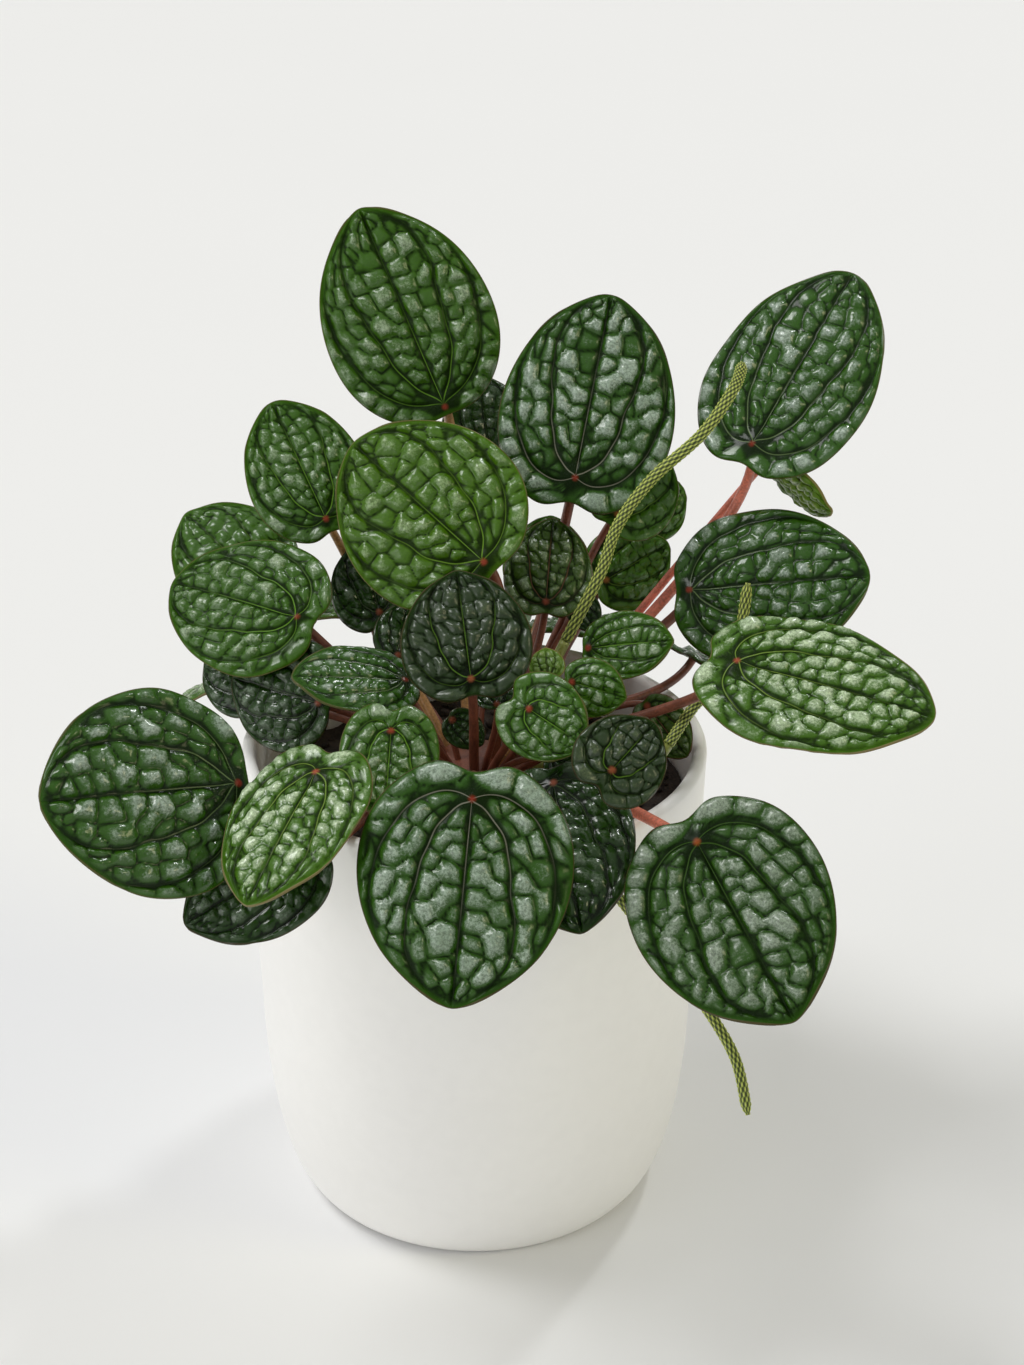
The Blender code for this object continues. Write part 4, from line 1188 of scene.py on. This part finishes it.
def floret_material(grain, settings):
    """Yellow-green florets with painted shade in the gaps between them."""
    material, nodes, shader = new_material("florets", 0.5)
    node = place_group(nodes, grain, Base=rgba(settings.colour), Dark=rgba(shaded(settings.colour, 0.7)),
                       Scale_share=3.0, Contrast=0.6)
    raised = nodes.mask("raised")
    pale = nodes.mix(nodes.ramp(raised, FLORET_TIP_MM), node.outputs["Colour"], rgba(FLORET_TIP))
    # Painted shade: the gaps between the florets are darkened
    gap = nodes.ramp(raised, FLORET_SHADE_SPAN_MM, 1.0, 0.0)
    nodes.plug(nodes.mix(gap, pale, rgba(FLORET_PAINTED_SHADE)), shader.inputs["Base Color"])
    nodes.plug(nodes.bump(node.outputs["Grain"], 0.4, GRAIN_BUMP), shader.inputs["Normal"])
    return material


def shared_group(name, maker):
    return bpy.data.node_groups.get(name) or maker()


# Operators


class PEPEROMIA_OT_pot(Operator):
    """Turn the white pot."""
    bl_idname = "peperomia.pot"
    bl_label = "Build pot"

    def execute(self, context):
        settings = context.scene.peperomia.pot
        grain = shared_group("fine_grain", grain_group)
        shade = shaded(settings.colour, 0.93)
        glaze = grained_material("pot_glaze", grain, settings.colour, shade, scale=0.25, contrast=0.25,
                                 roughness=0.46, bump=0.03, coat=0.05)
        make_pot(settings, glaze)
        return {"FINISHED"}


class PEPEROMIA_OT_soil(Operator):
    """Fill the pot with soil."""
    bl_idname = "peperomia.soil"
    bl_label = "Build soil"

    def execute(self, context):
        settings = context.scene.peperomia.soil
        grain = shared_group("fine_grain", grain_group)
        crumbs = grained_material("soil_crumbs", grain, settings.colour, SOIL_PALE, scale=2.0, contrast=0.8,
                                  roughness=0.9, bump=0.8)
        make_soil(settings, crumbs)
        return {"FINISHED"}


class PEPEROMIA_OT_stalks(Operator):
    """Grow the crown and every stalk."""
    bl_idname = "peperomia.stalks"
    bl_label = "Build stalks"

    def execute(self, context):
        grain = shared_group("fine_grain", grain_group)
        finish = dict(scale=1.6, contrast=0.8, roughness=0.36, bump=0.25, coat=0.15)
        materials = [grained_material("stalk_" + name, grain, tint, shaded(tint, 0.5), **finish)
                     for name, tint in TINTS.items()]
        make_stalks(context.scene.peperomia.stalk, materials)
        return {"FINISHED"}


class PEPEROMIA_OT_leaves(Operator):
    """Grow every blade."""
    bl_idname = "peperomia.leaves"
    bl_label = "Build leaves"

    def execute(self, context):
        skin = shared_group("leaf_skin", leaf_skin_group)
        back = underside_material(shared_group("fine_grain", grain_group))
        faces = {name: leaf_material(name, look, skin) for name, look in LOOKS.items()}
        for seed, leaf in enumerate(LEAVES + REAR_LEAVES):
            face = faces[LOOK_OF_LEAF.get(leaf.name, USUAL_LOOK)]
            make_blade(leaf, context.scene.peperomia.leaf, seed, [face, back])
        return {"FINISHED"}


class PEPEROMIA_OT_spikes(Operator):
    """Grow the flower spikes."""
    bl_idname = "peperomia.spikes"
    bl_label = "Build flower spikes"

    def execute(self, context):
        settings = context.scene.peperomia.spike
        material = floret_material(shared_group("fine_grain", grain_group), settings)
        for spike in SPIKES:
            make_spike(spike, settings, material)
        return {"FINISHED"}


class PEPEROMIA_OT_stage(Operator):
    """Set the floor, the lights and the camera."""
    bl_idname = "peperomia.stage"
    bl_label = "Set stage"

    def execute(self, context):
        settings = context.scene.peperomia.stage
        make_floor(settings.floor)
        make_camera()
        for sun in SUNS:
            add_sun(sun, getattr(settings, sun.name))
        context.scene.view_settings.view_transform = "Standard"
        context.scene.world = make_sky(settings.sky)
        return {"FINISHED"}


def make_floor(colour):
    bm = bmesh.new()
    bmesh.ops.create_grid(bm, x_segments=1, y_segments=1, size=FLOOR_HALF)
    mesh = bpy.data.meshes.new("floor")
    bm.to_mesh(mesh)
    bm.free()
    material, nodes, shader = new_material("floor_paper", 0.75)
    tone = nodes.noise(nodes.place(), 3.0, 2.0)
    tinted = nodes.mix(tone, rgba(colour), rgba(shaded(colour, FLOOR_SHADE)))
    nodes.plug(tinted, shader.inputs["Base Color"])
    mesh.materials.append(material)
    link("floor", mesh)


def make_sky(strength):
    world = bpy.data.worlds.new("studio")
    world.use_nodes = True
    background = world.node_tree.nodes["Background"]
    background.inputs["Color"].default_value = (1.0, 1.0, 1.0, 1.0)
    background.inputs["Strength"].default_value = strength
    return world


def make_camera():
    data = bpy.data.cameras.new("camera")
    data.sensor_fit = "AUTO"
    data.sensor_width = SENSOR_MM
    data.lens = EYE_FOCAL_PX * SENSOR_MM / PICTURE_HEIGHT_PX
    camera = link("camera", data)
    camera.location = EYE
    camera.rotation_euler = (math.pi / 2 - EYE_TILT, 0.0, 0.0)
    bpy.context.scene.camera = camera


def add_sun(sun, strength):
    data = bpy.data.lights.new(sun.name + "_light", "SUN")
    data.angle = math.radians(sun.spread)
    data.energy = strength
    data.color = sun.tint
    light = link(sun.name + "_light", data)
    light.location = sun.place
    light.rotation_euler = (-Vector(sun.place)).to_track_quat("-Z", "Y").to_euler()


class PEPEROMIA_PT_panel(Panel):
    """Lists the steps that build the potted plant."""
    bl_idname = "PEPEROMIA_PT_panel"
    bl_label = "Ripple peperomia"
    bl_space_type = "VIEW_3D"
    bl_region_type = "UI"
    bl_category = "Peperomia"

    def draw(self, context):
        column = self.layout.column()
        for operator in OPERATORS:
            column.operator(operator.bl_idname)


GROUPS = (PotSettings, LeafSettings, StalkSettings, SpikeSettings, SoilSettings, StageSettings,
          PlantSettings)
OPERATORS = (PEPEROMIA_OT_stage, PEPEROMIA_OT_pot, PEPEROMIA_OT_soil, PEPEROMIA_OT_stalks,
             PEPEROMIA_OT_leaves, PEPEROMIA_OT_spikes)
CLASSES = GROUPS + OPERATORS + (PEPEROMIA_PT_panel,)


def register():
    for item in CLASSES:
        bpy.utils.register_class(item)
    bpy.types.Scene.peperomia = PointerProperty(type=PlantSettings)


def unregister():
    del bpy.types.Scene.peperomia
    for item in reversed(CLASSES):
        bpy.utils.unregister_class(item)


def main():
    register()
    bpy.ops.peperomia.stage()
    bpy.ops.peperomia.pot()
    bpy.ops.peperomia.soil()
    bpy.ops.peperomia.stalks()
    bpy.ops.peperomia.leaves()
    bpy.ops.peperomia.spikes()


if __name__ == "__main__":
    main()
